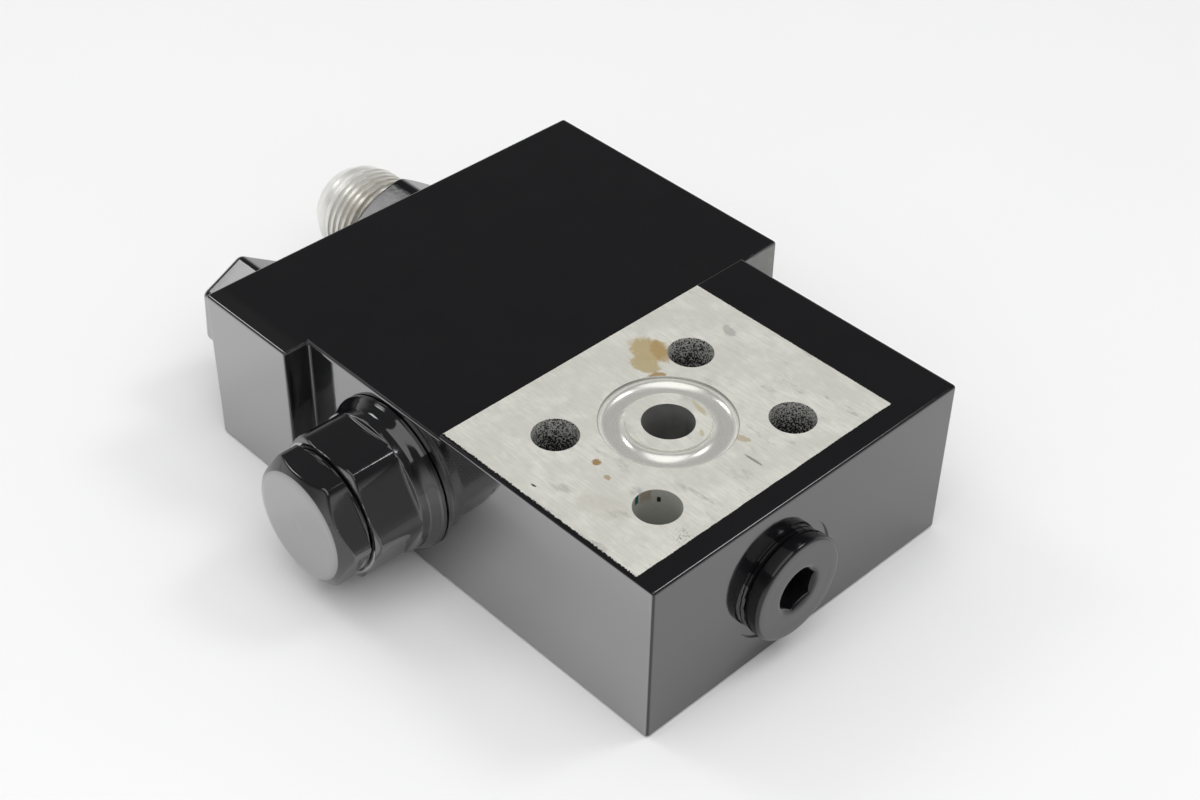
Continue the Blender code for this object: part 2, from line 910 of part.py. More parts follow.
# Seat ring with a groove for its O-ring and backup ring
seat_top = -seat_start
seat_back = -pilot_start + fit_gap
groove_top = (seat_top + seat_back + seal_groove_length) / 2
groove_low = groove_top - seal_groove_length
seat = turned(
    "seat_ring",
    [
        (sleeve_bore_radius - fit_gap, seat_top),
        (sleeve_bore_radius - fit_gap, groove_top),
        (seal_groove_floor, groove_top),
        (seal_groove_floor, groove_low),
        (sleeve_bore_radius - fit_gap, groove_low),
        (sleeve_bore_radius - fit_gap, seat_back),
        (seat_hole_radius, seat_back),
        (seat_hole_radius, seat_top),
    ],
    main_axis,
)
settle(seat, turned_steel("seat_ring_steel"))
backup_low = groove_low + fit_gap
backup = turned(
    "seat_backup_ring",
    [
        (sleeve_bore_radius - fit_gap, backup_low + backup_thickness),
        (sleeve_bore_radius - fit_gap, backup_low),
        (seal_groove_floor + fit_gap, backup_low),
        (seal_groove_floor + fit_gap, backup_low + backup_thickness),
    ],
    main_axis,
)
settle(backup, white_plastic("seat_backup_ring_plastic"))
ring_room = groove_top - backup_low - backup_thickness
seat_section = min(ring_room, sleeve_bore_radius - seal_groove_floor) / 2 - fit_gap
seat_ring_radius = (sleeve_bore_radius + seal_groove_floor) / 2
seat_ring_height = groove_top - ring_room / 2
settle(
    torus("seat_o_ring", seat_ring_radius, seat_section, seat_ring_height, main_axis),
    black_rubber("seat_o_ring_rubber"),
)

# Main poppet: cone on the seat, neck, guide, spring pocket and damping orifice
head_radius = poppet_radius - 2 * fit_gap
cone_radius_at_seat = seat_hole_radius - fit_gap * math.sqrt(2)
head_end = -seat_start + (head_radius - cone_radius_at_seat)
nose_end = -seat_start - (cone_radius_at_seat - poppet_nose_radius)
head_start = head_end + poppet_head_length
flare_start = head_start + (head_radius - poppet_neck_radius) / 2
neck_start = flare_start + poppet_neck_length
poppet_tail = neck_start + poppet_guide_length
pocket_floor = poppet_tail - poppet_pocket_depth
poppet = turned(
    "main_poppet",
    [
        (poppet_radius - 2 * fit_gap, poppet_tail),
        (poppet_radius - fit_gap, poppet_tail - fit_gap),
        (poppet_radius - fit_gap, neck_start),
        (poppet_neck_radius, neck_start),
        (poppet_neck_radius, flare_start),
        (head_radius, head_start),
        (head_radius, head_end),
        (poppet_nose_radius, nose_end),
        (0, nose_end),
        (0, pocket_floor),
        (poppet_pocket_radius, pocket_floor),
        (poppet_pocket_radius, poppet_tail),
    ],
    main_axis,
)
orifice_station = neck_start - poppet_neck_length / 2
orifice = rod(
    "orifice",
    orifice_radius,
    orifice_station - orifice_radius,
    pocket_floor + fit_gap,
    main_axis,
    steps=hole_facets,
)
orifice_cross = cross_rod("orifice_cross", orifice_radius, orifice_station, poppet_radius, 0.0, main_axis)
cut(poppet, orifice, orifice_cross)
settle(poppet, turned_steel("main_poppet_steel"))
coil(
    "main_spring",
    main_spring_radius,
    main_spring_wire,
    pocket_floor + fit_gap,
    guide_face - fit_gap,
    main_spring_turns,
    main_axis,
    spring_steel("main_spring_steel"),
)

# Pilot piston: head with a seal groove and a stem that reaches the poppet's nose
piston_back = -pilot_end + fit_gap
piston_front = piston_back + piston_head_length
stem_tip = nose_end - fit_gap
piston_groove_low = piston_back + (piston_head_length - piston_groove_length) / 2
piston_groove_top = piston_groove_low + piston_groove_length
piston = turned(
    "pilot_piston",
    [
        (0, stem_tip),
        (piston_stem_radius - fit_gap, stem_tip),
        (piston_stem_radius, stem_tip - fit_gap),
        (piston_stem_radius, piston_front),
        (pilot_bore_radius - 2 * fit_gap, piston_front),
        (pilot_bore_radius - fit_gap, piston_front - fit_gap),
        (pilot_bore_radius - fit_gap, piston_groove_top),
        (piston_groove_floor, piston_groove_top),
        (piston_groove_floor, piston_groove_low),
        (pilot_bore_radius - fit_gap, piston_groove_low),
        (pilot_bore_radius - fit_gap, piston_back + fit_gap),
        (pilot_bore_radius - 2 * fit_gap, piston_back),
        (0, piston_back),
    ],
    main_axis,
)
settle(piston, turned_steel("pilot_piston_steel"))
piston_section = min(piston_groove_length, pilot_bore_radius - piston_groove_floor) / 2 - fit_gap
settle(
    torus(
        "pilot_piston_seal",
        (pilot_bore_radius + piston_groove_floor) / 2,
        piston_section,
        (piston_groove_low + piston_groove_top) / 2,
        main_axis,
    ),
    black_rubber("pilot_piston_seal_rubber"),
)
coil(
    "pilot_spring",
    pilot_spring_radius,
    pilot_spring_wire,
    piston_front + fit_gap,
    seat_back - fit_gap,
    pilot_spring_turns,
    main_axis,
    spring_steel("pilot_spring_steel"),
)

# Relief cap: a closed hexagon with a hollow, threaded spigot over the adjuster
relief_seal = mouth_ring(relief_mouth_radius, relief_mouth_scale)
relief_ring, relief_section, relief_ring_depth, relief_undercut = relief_seal
relief_cap = hexagon(
    "relief_cap",
    relief_hex,
    fit_gap,
    relief_hex_height,
    relief_axis,
    corner_round=relief_hex_round,
    turn=relief_hex_turn,
)
boolean(
    relief_cap,
    hex_envelope("relief_cap_envelope", relief_hex_face, None, fit_gap, relief_hex_height, relief_axis),
    "INTERSECT",
)
spigot = turned(
    "relief_spigot",
    [
        (0, relief_hex_round),
        (relief_undercut, relief_hex_round),
        (relief_undercut, -relief_mouth_chamfer),
        (relief_mouth_radius - fit_gap, -relief_mouth_chamfer - fit_gap),
        (relief_mouth_radius - fit_gap, -relief_spigot_length),
        (0, -relief_spigot_length),
    ],
    relief_axis,
    cutter=True,
)
boolean(relief_cap, spigot, "UNION")
hollow = turned(
    "relief_hollow",
    [
        (0, relief_hollow_depth + relief_hollow_radius / 4),
        (relief_hollow_radius, relief_hollow_depth),
        (relief_hollow_radius, -relief_spigot_length - cutter_reach),
        (0, -relief_spigot_length - cutter_reach),
    ],
    relief_axis,
    cutter=True,
    steps=small_facets,
)
cut(relief_cap, hollow)
settle(relief_cap, black_paint("relief_cap_paint"))
settle(
    torus("relief_cap_o_ring", relief_ring, relief_section, -relief_ring_depth, relief_axis),
    black_rubber("relief_cap_o_ring_rubber"),
)

# Relief cartridge: threaded barrel, nose with a seal groove, seat and outlet holes
cartridge_tip = -cartridge_nose_depth + fit_gap
cartridge_groove_top = -cartridge_groove_depth
cartridge_groove_low = cartridge_groove_top - cartridge_groove_length
cartridge = turned(
    "relief_cartridge",
    [
        (cartridge_radius - fit_gap, -cartridge_start),
        (cartridge_radius - fit_gap, -cartridge_thread_end),
        (cartridge_nose_radius - fit_gap, -cartridge_thread_end),
        (cartridge_nose_radius - fit_gap, cartridge_groove_top),
        (cartridge_groove_floor, cartridge_groove_top),
        (cartridge_groove_floor, cartridge_groove_low),
        (cartridge_nose_radius - fit_gap, cartridge_groove_low),
        (cartridge_nose_radius - fit_gap, cartridge_tip),
        (relief_seat_radius, cartridge_tip),
        (relief_seat_radius, -relief_seat_depth),
        (chamber_radius, -relief_seat_depth),
        (chamber_radius, -screw_thread_depth),
        (screw_radius, -screw_thread_depth),
        (screw_radius, -cartridge_start),
    ],
    relief_axis,
    steps=small_facets,
)
outlet_station = -relief_seat_depth + relief_hole_setback
for i in range(relief_hole_count):
    turn = 360 * i / relief_hole_count
    outlet = cross_rod(
        f"outlet_{i}",
        relief_hole_radius,
        outlet_station,
        cartridge_nose_radius + cutter_reach,
        turn,
        relief_axis,
    )
    cut(cartridge, outlet)
settle(cartridge, turned_steel("relief_cartridge_steel"))
cartridge_room = min(cartridge_groove_length, cartridge_nose_radius - cartridge_groove_floor)
cartridge_section = cartridge_room / 2 - fit_gap
settle(
    torus(
        "cartridge_o_ring",
        (cartridge_nose_radius + cartridge_groove_floor) / 2,
        cartridge_section,
        (cartridge_groove_top + cartridge_groove_low) / 2,
        relief_axis,
    ),
    black_rubber("cartridge_o_ring_rubber"),
)

# Relief poppet, spring button and spring inside the cartridge
relief_cone_at_seat = relief_seat_radius - fit_gap * math.sqrt(2)
relief_poppet_radius = chamber_radius - fit_gap
cone_top = -relief_seat_depth + (relief_poppet_radius - relief_cone_at_seat)
cone_tip = -relief_seat_depth - (relief_cone_at_seat - relief_tip_radius)
relief_guide_top = cone_top + relief_guide_length
relief_poppet = turned(
    "relief_poppet",
    [
        (0, relief_guide_top + relief_pin_length),
        (relief_pin_radius, relief_guide_top + relief_pin_length),
        (relief_pin_radius, relief_guide_top),
        (relief_poppet_radius, relief_guide_top),
        (relief_poppet_radius, cone_top),
        (relief_tip_radius, cone_tip),
        (0, cone_tip),
    ],
    relief_axis,
    steps=small_facets,
)
settle(relief_poppet, turned_steel("relief_poppet_steel"))
button_face = -button_depth - button_thickness
button = turned(
    "relief_spring_button",
    [
        (0, -button_depth),
        (relief_poppet_radius, -button_depth),
        (relief_poppet_radius, button_face),
        (relief_pin_radius, button_face),
        (relief_pin_radius, button_face - button_pin_length),
        (0, button_face - button_pin_length),
    ],
    relief_axis,
    steps=small_facets,
)
settle(button, turned_steel("relief_button_steel"))
coil(
    "relief_spring",
    relief_spring_radius,
    relief_spring_wire,
    relief_guide_top + fit_gap,
    button_face - fit_gap,
    relief_spring_turns,
    relief_axis,
    spring_steel("relief_spring_steel"),
)

# Adjusting screw with a hexagon socket, and its lock nut on the cartridge
screw_top = screw_stand_out
adjuster = turned(
    "adjusting_screw",
    [
        (0, screw_top),
        (screw_radius - thread_lead, screw_top),
        (screw_radius - fit_gap, screw_top - 2 * fit_gap),
        (screw_radius - fit_gap, -button_depth + thread_lead),
        (screw_radius - thread_lead, -button_depth + fit_gap),
        (0, -button_depth + fit_gap),
    ],
    relief_axis,
    steps=small_facets,
)
cut(
    adjuster,
    hexagon(
        "screw_socket",
        screw_socket,
        screw_top - screw_socket_depth,
        screw_top + cutter_reach,
        relief_axis,
        cutter=True,
    ),
)
settle(adjuster, spring_steel("adjusting_screw_steel"))
nut_low = -cartridge_start + fit_gap
nut = hexagon("lock_nut", nut_across_flats, nut_low, nut_low + nut_height, relief_axis)
boolean(
    nut,
    hex_envelope(
        "nut_envelope",
        nut_across_flats / 2,
        nut_across_flats / 2,
        nut_low,
        nut_low + nut_height,
        relief_axis,
    ),
    "INTERSECT",
)
cut(
    nut,
    rod(
        "nut_hole",
        screw_radius,
        nut_low - cutter_reach,
        nut_low + nut_height + cutter_reach,
        relief_axis,
        steps=small_facets,
    ),
)
settle(nut, zinc_steel("lock_nut_steel"))

# Flare adaptor: threaded shank, hexagon, flare thread, nose and sealing cone
adaptor_ring, adaptor_section, adaptor_ring_depth, adaptor_undercut = mouth_ring(adaptor_port_radius)
adaptor = hexagon(
    "flare_adaptor",
    adaptor_hex,
    fit_gap,
    adaptor_hex_height,
    adaptor_axis,
    corner_round=adaptor_hex_round,
    turn=adaptor_hex_turn,
)
boolean(
    adaptor,
    hex_envelope("adaptor_envelope", adaptor_hex_face, None, fit_gap, adaptor_hex_height, adaptor_axis),
    "INTERSECT",
)
thread_low = adaptor_hex_height + flare_neck_length
thread_top = thread_low + flare_thread_length
nose_top = thread_top + flare_nose_length
cone_length = (flare_nose_radius - flare_tip_radius) / math.tan(math.radians(flare_angle))
flare_lead = flare_thread_radius - flare_neck_radius
stub = turned(
    "adaptor_stub",
    [
        (0, nose_top + cone_length),
        (flare_tip_radius, nose_top + cone_length),
        (flare_nose_radius, nose_top),
        (flare_nose_radius, thread_top),
        (flare_thread_radius, thread_top - (flare_thread_radius - flare_nose_radius)),
        (flare_thread_radius, thread_low + flare_lead),
        (flare_neck_radius, thread_low),
        (flare_neck_radius, adaptor_hex_height - adaptor_hex_round),
        (0, adaptor_hex_height - adaptor_hex_round),
    ],
    adaptor_axis,
    cutter=True,
)
adaptor_shank = turned(
    "adaptor_shank",
    [
        (0, adaptor_hex_round),
        (adaptor_undercut, adaptor_hex_round),
        (adaptor_undercut, -adaptor_mouth_depth),
        (adaptor_port_radius - fit_gap, -adaptor_mouth_depth - flare_lead),
        (adaptor_port_radius - fit_gap, -adaptor_shank_length + flare_lead),
        (adaptor_port_radius - flare_lead, -adaptor_shank_length),
        (0, -adaptor_shank_length),
    ],
    adaptor_axis,
    cutter=True,
)
adaptor_bore = rod(
    "adaptor_bore",
    adaptor_bore_radius,
    -adaptor_shank_length - cutter_reach,
    nose_top + cone_length + cutter_reach,
    adaptor_axis,
)
boolean(adaptor, stub, "UNION")
boolean(adaptor, adaptor_shank, "UNION")
cut(adaptor, adaptor_bore)
settle(adaptor, zinc_steel("flare_adaptor_zinc"))
settle(
    torus("adaptor_o_ring", adaptor_ring, adaptor_section, -adaptor_ring_depth, adaptor_axis),
    black_rubber("adaptor_o_ring_rubber"),
)

# Socket plug: collar with a rounded rim, threaded shank and hexagon socket
ring_low = -plug_spotface_depth + fit_gap / 2
ring_top = -plug_spotface_depth + plug_ring_thickness - fit_gap
collar_low = -plug_spotface_depth + plug_ring_thickness
collar_top = collar_low + plug_collar_height
plug = turned(
    "socket_plug",
    [(0, collar_top)]
    + half_round(plug_collar_radius - plug_rim_round, collar_top - plug_rim_round, plug_rim_round, 90, 0)
    + [
        (plug_collar_radius, collar_low + fit_gap),
        (plug_collar_radius - fit_gap, collar_low),
        (plug_thread_radius - fit_gap, collar_low),
        (plug_thread_radius - fit_gap, -plug_shank_length + thread_lead),
        (plug_thread_radius - fit_gap - thread_lead, -plug_shank_length),
        (0, -plug_shank_length),
    ],
    plug_axis,
)
socket_corner = socket_across_flats / math.sqrt(3)
lead_radius = socket_corner + socket_corner_relief
socket = hexagon(
    "socket",
    socket_across_flats,
    collar_top - socket_depth,
    collar_top + cutter_reach,
    plug_axis,
    turn=socket_turn,
    cutter=True,
)
lead = turned(
    "socket_mouth",
    [
        (0, collar_top + socket_lead),
        (lead_radius + socket_lead, collar_top + socket_lead),
        (lead_radius - socket_lead, collar_top - socket_lead),
        (0, collar_top - socket_lead),
    ],
    plug_axis,
    cutter=True,
)
drill_point = turned(
    "socket_drill_point",
    [
        (0, collar_top - socket_depth + fit_gap),
        (socket_across_flats / 2 - fit_gap, collar_top - socket_depth + fit_gap),
        (socket_across_flats / 2 - fit_gap, collar_top - socket_depth),
        (0, collar_top - socket_depth - socket_across_flats / 4),
    ],
    plug_axis,
    cutter=True,
    steps=small_facets,
)
cut(plug, socket, lead, drill_point)
settle(plug, black_paint("socket_plug_paint"))
plug_ring = turned(
    "plug_seal_ring",
    [
        (plug_ring_radius, ring_top),
        (plug_ring_radius, ring_low),
        (plug_thread_radius + fit_gap, ring_low),
        (plug_thread_radius + fit_gap, ring_top),
    ],
    plug_axis,
)
settle(plug_ring, black_paint("plug_seal_ring_paint"))

# Expander plug that closes the return drilling at the right shoulder
return_plug = turned(
    "return_plug",
    [
        (0, -return_plug_depth + return_plug_length + fit_gap),
        (return_plug_radius - 2 * fit_gap, -return_plug_depth + return_plug_length + fit_gap),
        (return_plug_radius - fit_gap, -return_plug_depth + return_plug_length),
        (return_plug_radius - fit_gap, -return_plug_depth + fit_gap),
        (0, -return_plug_depth + fit_gap),
    ],
    return_axis,
    steps=small_facets,
)
settle(return_plug, zinc_steel("return_plug_steel"))
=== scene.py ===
"""Looks of the hydraulic load holding valve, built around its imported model.

The frame is in metres with +Z up. The origin lies on the base, under the cylinder port.
"""

import math

import bmesh
import bpy
from mathutils import Matrix, Vector


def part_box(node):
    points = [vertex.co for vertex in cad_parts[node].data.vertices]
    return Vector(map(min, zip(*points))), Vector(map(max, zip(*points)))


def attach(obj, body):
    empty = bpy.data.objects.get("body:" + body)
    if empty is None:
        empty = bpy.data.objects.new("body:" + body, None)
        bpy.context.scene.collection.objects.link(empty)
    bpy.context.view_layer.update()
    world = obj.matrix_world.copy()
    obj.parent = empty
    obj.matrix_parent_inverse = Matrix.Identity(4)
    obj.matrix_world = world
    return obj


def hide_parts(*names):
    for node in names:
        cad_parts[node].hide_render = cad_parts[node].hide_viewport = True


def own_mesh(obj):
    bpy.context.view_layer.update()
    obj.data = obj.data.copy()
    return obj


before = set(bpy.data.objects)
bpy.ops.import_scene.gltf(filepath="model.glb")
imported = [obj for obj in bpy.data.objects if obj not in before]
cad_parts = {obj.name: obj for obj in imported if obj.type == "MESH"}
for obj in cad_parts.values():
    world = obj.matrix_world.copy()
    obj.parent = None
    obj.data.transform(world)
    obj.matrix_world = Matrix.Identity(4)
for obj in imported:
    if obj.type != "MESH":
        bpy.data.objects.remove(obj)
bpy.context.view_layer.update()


# Valve body: a steel block with a shoulder at each end of its rear, sprayed all over in
# thick gloss black. The pad that bolts to the cylinder was masked and stays bare.
body_low, body_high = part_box("valve_body")
front_x, rear_x = body_high.x, body_low.x
pad_height = body_high.z
rear_height = 0.044
step_x = -0.0315
notch_x = -0.0795
left_y = -0.0415
right_y = 0.0585
edge_round = 0.0009
step_round = 0.0003
cutter_reach = 0.002

port_radius = 0.00625
land_radius = 0.01
groove_radius = 0.01605
groove_depth = 0.0024
groove_wall = 0.0006
groove_lip = 0.00025
gallery_y = 0.0006
gallery_z = 0.021
spotface_radius = 0.01555
spotface_depth = 0.0005
bolt_hole_radius = 0.0056
bolt_centre = (0.0023, -0.0002)
bolt_spacing = (0.0324, 0.0437)
bore_x = -0.0495
bore_z = 0.0224
relief_y = -0.02735
adaptor_y = 0.02065
return_x = -0.0863


def node(tree, kind, sockets=None, **settings):
    """Add a shader node, set its fields, and fill or link its sockets."""
    made = tree.nodes.new("ShaderNode" + kind)
    for field, value in settings.items():
        setattr(made, field, value)
    for key, value in (sockets or {}).items():
        if isinstance(value, bpy.types.NodeSocket):
            tree.links.new(value, made.inputs[key])
        else:
            made.inputs[key].default_value = value
    return made


def maths(tree, operation, first, second=0.0, third=0.0):
    """One step of arithmetic on shader values."""
    sockets = {0: first, 1: second, 2: third}
    return node(tree, "Math", sockets, operation=operation).outputs[0]


def ramp(tree, value, low, high, bottom=0.0, top=1.0):
    """A smooth change from one level to another as a value grows."""
    sockets = {"Value": value, "From Min": low, "From Max": high, "To Min": bottom, "To Max": top}
    return node(tree, "MapRange", sockets, interpolation_type="SMOOTHSTEP").outputs["Result"]


def noise(tree, place, size, detail=3.0, roughness=0.55, seed=0.0):
    """Cloudy noise whose lumps are about this size in millimetres."""
    sockets = {"Vector": place, "W": seed, "Scale": 1.0 / size, "Detail": detail, "Roughness": roughness}
    return node(tree, "TexNoise", sockets, noise_dimensions="4D").outputs["Fac"]


def blend_colour(tree, share, first, second):
    """Mix two colours by a share."""
    mix = node(tree, "Mix", {"Factor": share}, data_type="RGBA")
    for name, colour in (("A", first), ("B", second)):
        socket = [s for s in mix.inputs if s.name == name and s.type == "RGBA"][0]
        if isinstance(colour, bpy.types.NodeSocket):
            tree.links.new(colour, socket)
        else:
            socket.default_value = (*colour, 1.0)
    return [s for s in mix.outputs if s.type == "RGBA"][0]


def blend_value(tree, share, first, second):
    """Mix two plain values by a share."""
    difference = maths(tree, "SUBTRACT", second, first)
    return maths(tree, "MULTIPLY_ADD", share, difference, first)


def start_finish(name):
    """A new material with its shader, and places on the valve in millimetres."""
    material = bpy.data.materials.new(name)
    material.use_nodes = True
    tree = material.node_tree
    shader = tree.nodes["Principled BSDF"]
    spot = node(tree, "TexCoord").outputs["Object"]
    place = node(tree, "VectorMath", {0: spot, "Scale": 1000.0}, operation="SCALE").outputs["Vector"]
    return material, tree, shader, place


def bumped(tree, height, distance, strength, under=None):
    """A surface direction bent by a height from 0 to 1; distance in metres."""
    sockets = {"Height": height, "Distance": distance, "Strength": strength}
    if under is not None:
        sockets["Normal"] = under
    return node(tree, "Bump", sockets).outputs["Normal"]


def blend_relief(tree, share, first, second):
    """Mix two surface directions by a share."""
    mix = node(tree, "Mix", {"Factor": share}, data_type="VECTOR")
    ends = [s for s in mix.inputs if s.type == "VECTOR"]
    tree.links.new(first, ends[-2])
    tree.links.new(second, ends[-1])
    return [s for s in mix.outputs if s.type == "VECTOR"][0]


def coordinates(tree, place):
    """The three coordinates of a place."""
    parts = node(tree, "SeparateXYZ", {"Vector": place})
    return [parts.outputs[name] for name in "XYZ"]


def around_axis(tree, place, axis, centre):
    """Distance from an axis through a centre, and the way along it, in millimetres."""
    away = node(tree, "VectorMath", {0: place, 1: centre}, operation="SUBTRACT").outputs["Vector"]
    ways = dict(zip("XYZ", coordinates(tree, away)))
    along = ways.pop(axis)
    first, second = ways.values()
    squares = maths(tree, "MULTIPLY_ADD", first, first, maths(tree, "MULTIPLY", second, second))
    return maths(tree, "SQRT", squares), along


def connect(tree, shader, **sockets):
    """Link values to a shader's sockets, or set them."""
    for name, value in sockets.items():
        socket = shader.inputs[name.replace("_", " ")]
        if isinstance(value, bpy.types.NodeSocket):
            tree.links.new(value, socket)
        else:
            socket.default_value = value


def dust_nibs(tree, place, spacing, radius, seed):
    """Specks of dust that settled in wet paint, one in some of the cells of this spacing."""
    sockets = {"Vector": place, "Scale": 1.0 / spacing, "W": seed}
    cells = node(tree, "TexVoronoi", sockets, voronoi_dimensions="4D")
    near = ramp(tree, cells.outputs["Distance"], radius / spacing, 0.3 * radius / spacing)
    chosen = node(tree, "SeparateColor", {"Color": cells.outputs["Color"]}).outputs["Red"]
    return maths(tree, "MULTIPLY", near, maths(tree, "GREATER_THAN", chosen, 0.62))


def lay_enamel(tree, place):
    """Thick gloss enamel: soft waves, a few nibs and a hard clear top."""
    waves = noise(tree, place, 2.4, 2.0)
    grain = noise(tree, place, 0.35, 3.0, 0.6)
    nibs = dust_nibs(tree, place, 5.0, 0.24, 1.0)
    tone = noise(tree, place, 14.0, 3.0)
    black = blend_colour(tree, tone, (0.0045, 0.0045, 0.0055), (0.0075, 0.0075, 0.0085))
    colour = blend_colour(tree, maths(tree, "MULTIPLY", nibs, 0.4), black, (0.42, 0.41, 0.39))
    height = maths(tree, "MULTIPLY_ADD", waves, 0.011, maths(tree, "MULTIPLY", grain, 0.0011))
    height = maths(tree, "MULTIPLY_ADD", nibs, 0.03, height)
    relief = bumped(tree, height, 0.001, 0.9)
    haze = noise(tree, place, 6.0, 4.0)
    rough = ramp(tree, haze, 0.3, 0.8, 0.07, 0.16)
    return colour, rough, relief


def gloss(tree, shader, coat_index=3.2, left_face_sheen=1.0, other_face_sheen=0.06):
    """The hard skin of sprayed enamel, and its weight by which way a face looks: full on faces turned to -Y, low
    on the others and a little more on faces turned to +X, a painted difference in reflection between the sides.
    """
    connect(tree, shader, IOR=1.5, Coat_Roughness=0.06, Coat_IOR=coat_index)
    facing_x, facing_y = coordinates(tree, node(tree, "NewGeometry").outputs["Normal"])[:2]
    left = ramp(tree, facing_y, -0.8, -0.985, other_face_sheen, left_face_sheen)
    front = ramp(tree, facing_x, 0.85, 0.99, 0.0, 0.3)
    return maths(tree, "ADD", left, front)


def steel_rings(tree, place, axis, centre, spacing):
    """Fine rings that a lathe tool leaves around an axis, as a height from 0 to 1."""
    radius, along = around_axis(tree, place, axis, centre)
    travel = maths(tree, "ADD", radius, along)
    line = node(tree, "CombineXYZ", {"X": travel})
    return noise(tree, line.outputs["Vector"], spacing, 4.0, 0.7)


def turned_steel(name, axis, centre, tint=(0.56, 0.56, 0.55), shine=0.28, metallic=1.0):
    """Oiled steel with the fine rings of the lathe around one axis; centre in millimetres."""
    material, tree, shader, place = start_finish(name)
    rings = steel_rings(tree, place, axis, centre, 0.22)
    cloud = noise(tree, place, 5.0, 4.0)
    dark = tuple(0.78 * part for part in tint)
    colour = blend_colour(tree, ramp(tree, cloud, 0.3, 0.7), dark, tint)
    rough = ramp(tree, rings, 0.25, 0.75, shine - 0.06, shine + 0.08)
    relief = bumped(tree, rings, 0.00001, 0.6)
    connect(tree, shader, Base_Color=colour, Roughness=rough, Normal=relief, Metallic=metallic)
    return material


def blotch(tree, place, centre, size, turn=0.0, ragged=0.9, seed=0.0, edge=0.35):
    """A ragged patch on the pad: centre and half sizes in millimetres, turn in degrees."""
    away = node(tree, "VectorMath", {0: place, 1: (*centre, 0.0)}, operation="SUBTRACT").outputs["Vector"]
    sockets = {"Vector": away, "Angle": math.radians(-turn), "Axis": (0, 0, 1)}
    spun = node(tree, "VectorRotate", sockets, rotation_type="AXIS_ANGLE").outputs["Vector"]
    fit = node(tree, "VectorMath", {0: spun, 1: (1 / size[0], 1 / size[1], 0.0)}, operation="MULTIPLY")
    reach = node(tree, "VectorMath", {0: fit.outputs["Vector"]}, operation="LENGTH").outputs["Value"]
    frays = noise(tree, place, min(1.5, 0.6 * size[0]), 7.0, 0.75, seed)
    frayed = maths(tree, "MULTIPLY_ADD", frays, ragged, reach)
    return ramp(tree, frayed, 1.0 + ragged / 2, 1.0 + ragged / 2 - edge)


def stretched(tree, place, turn, share):
    """Places turned by an angle in degrees and squeezed along one way, for long marks."""
    sockets = {"Vector": place, "Rotation": (0, 0, math.radians(turn)), "Scale": (share, 1, 1)}
    return node(tree, "Mapping", sockets).outputs["Vector"]


def bare_pad(tree, place):
    """Milled steel of the pad: pale, faintly streaked, with smudges, stains and rust."""
    milling = noise(tree, stretched(tree, place, 14, 0.12), 0.55, 4.0, 0.65)
    cloud = noise(tree, place, 7.0, 4.0, 0.6)
    colour = blend_colour(tree, ramp(tree, milling, 0.3, 0.7), (0.7, 0.695, 0.63), (0.83, 0.82, 0.75))
    colour = blend_colour(tree, ramp(tree, cloud, 0.62, 0.4, 0.0, 0.5), colour, (0.62, 0.615, 0.555))
    scuffs = noise(tree, stretched(tree, place, -35, 0.45), 3.4, 4.0, 0.6, 4.0)
    right_half = ramp(tree, coordinates(tree, place)[0], -18.0, 10.0, 0.2, 1.0)
    scuffed = maths(tree, "MULTIPLY", ramp(tree, scuffs, 0.56, 0.7, 0.0, 0.55), right_half)
    colour = blend_colour(tree, scuffed, colour, (0.36, 0.36, 0.345))
    # Each mark: centre, half sizes, turn, raggedness, seed, colour and strength. The ochre
    # stain comes first, then rust, yellowed oil, one dark speck, a scuff and pale smudges.
    marks = [
        ((-21.3, 15.2), (6.3, 4.7), 12, 1.3, 1.0, (0.52, 0.4, 0.2), 0.9),
        ((-18.0, 10.6), (5.0, 3.3), 8, 1.3, 18.0, (0.5, 0.41, 0.22), 0.9),
        ((-19.2, 16.6), (5.2, 2.4), -24, 1.4, 2.0, (0.42, 0.27, 0.09), 0.6),
        ((-13.2, 9.8), (2.4, 1.3), 60, 1.4, 3.0, (0.38, 0.24, 0.08), 0.85),
        ((-0.9, -21.7), (1.3, 1.2), 10, 1.9, 4.0, (0.37, 0.23, 0.09), 0.95),
        ((4.3, -23.4), (1.0, 0.8), 0, 1.9, 5.0, (0.38, 0.26, 0.11), 0.7),
        ((15.6, 7.9), (2.4, 1.1), 20, 1.2, 6.0, (0.42, 0.31, 0.15), 0.55),
        ((1.6, 8.4), (3.6, 0.75), -14, 0.9, 7.0, (0.5, 0.42, 0.2), 0.6),
        ((8.1, 2.6), (1.5, 0.6), -35, 0.9, 8.0, (0.5, 0.42, 0.2), 0.6),
        ((-4.8, -37.0), (0.9, 0.3), 5, 0.4, 9.0, (0.02, 0.02, 0.02), 1.0),
        ((22.2, 4.4), (3.2, 0.45), 2, 0.8, 10.0, (0.2, 0.2, 0.19), 0.75),
        ((-13.5, 34.4), (3.0, 1.5), -20, 1.0, 11.0, (0.38, 0.38, 0.37), 0.6),
        ((10.5, -30.5), (7.5, 4.0), 20, 1.0, 13.0, (0.5, 0.46, 0.38), 0.25),
    ]
    for centre, size, turn, ragged, seed, stain, strength in marks:
        patch = maths(tree, "MULTIPLY", blotch(tree, place, centre, size, turn, ragged, seed), strength)
        colour = blend_colour(tree, patch, colour, stain)
    specks = ramp(tree, noise(tree, place, 0.33, 3.0, 0.7, 17.0), 0.56, 0.6, 0.0, 0.75)
    sprayed = blotch(tree, place, (28.6, -24.6), (3.4, 4.6), 10, 1.2, 12.0, 0.9)
    colour = blend_colour(tree, maths(tree, "MULTIPLY", specks, sprayed), colour, (0.06, 0.06, 0.06))
    rough = ramp(tree, milling, 0.25, 0.75, 0.36, 0.5)
    height = maths(tree, "MULTIPLY_ADD", milling, 0.6, maths(tree, "MULTIPLY", cloud, 0.4))
    return colour, rough, height


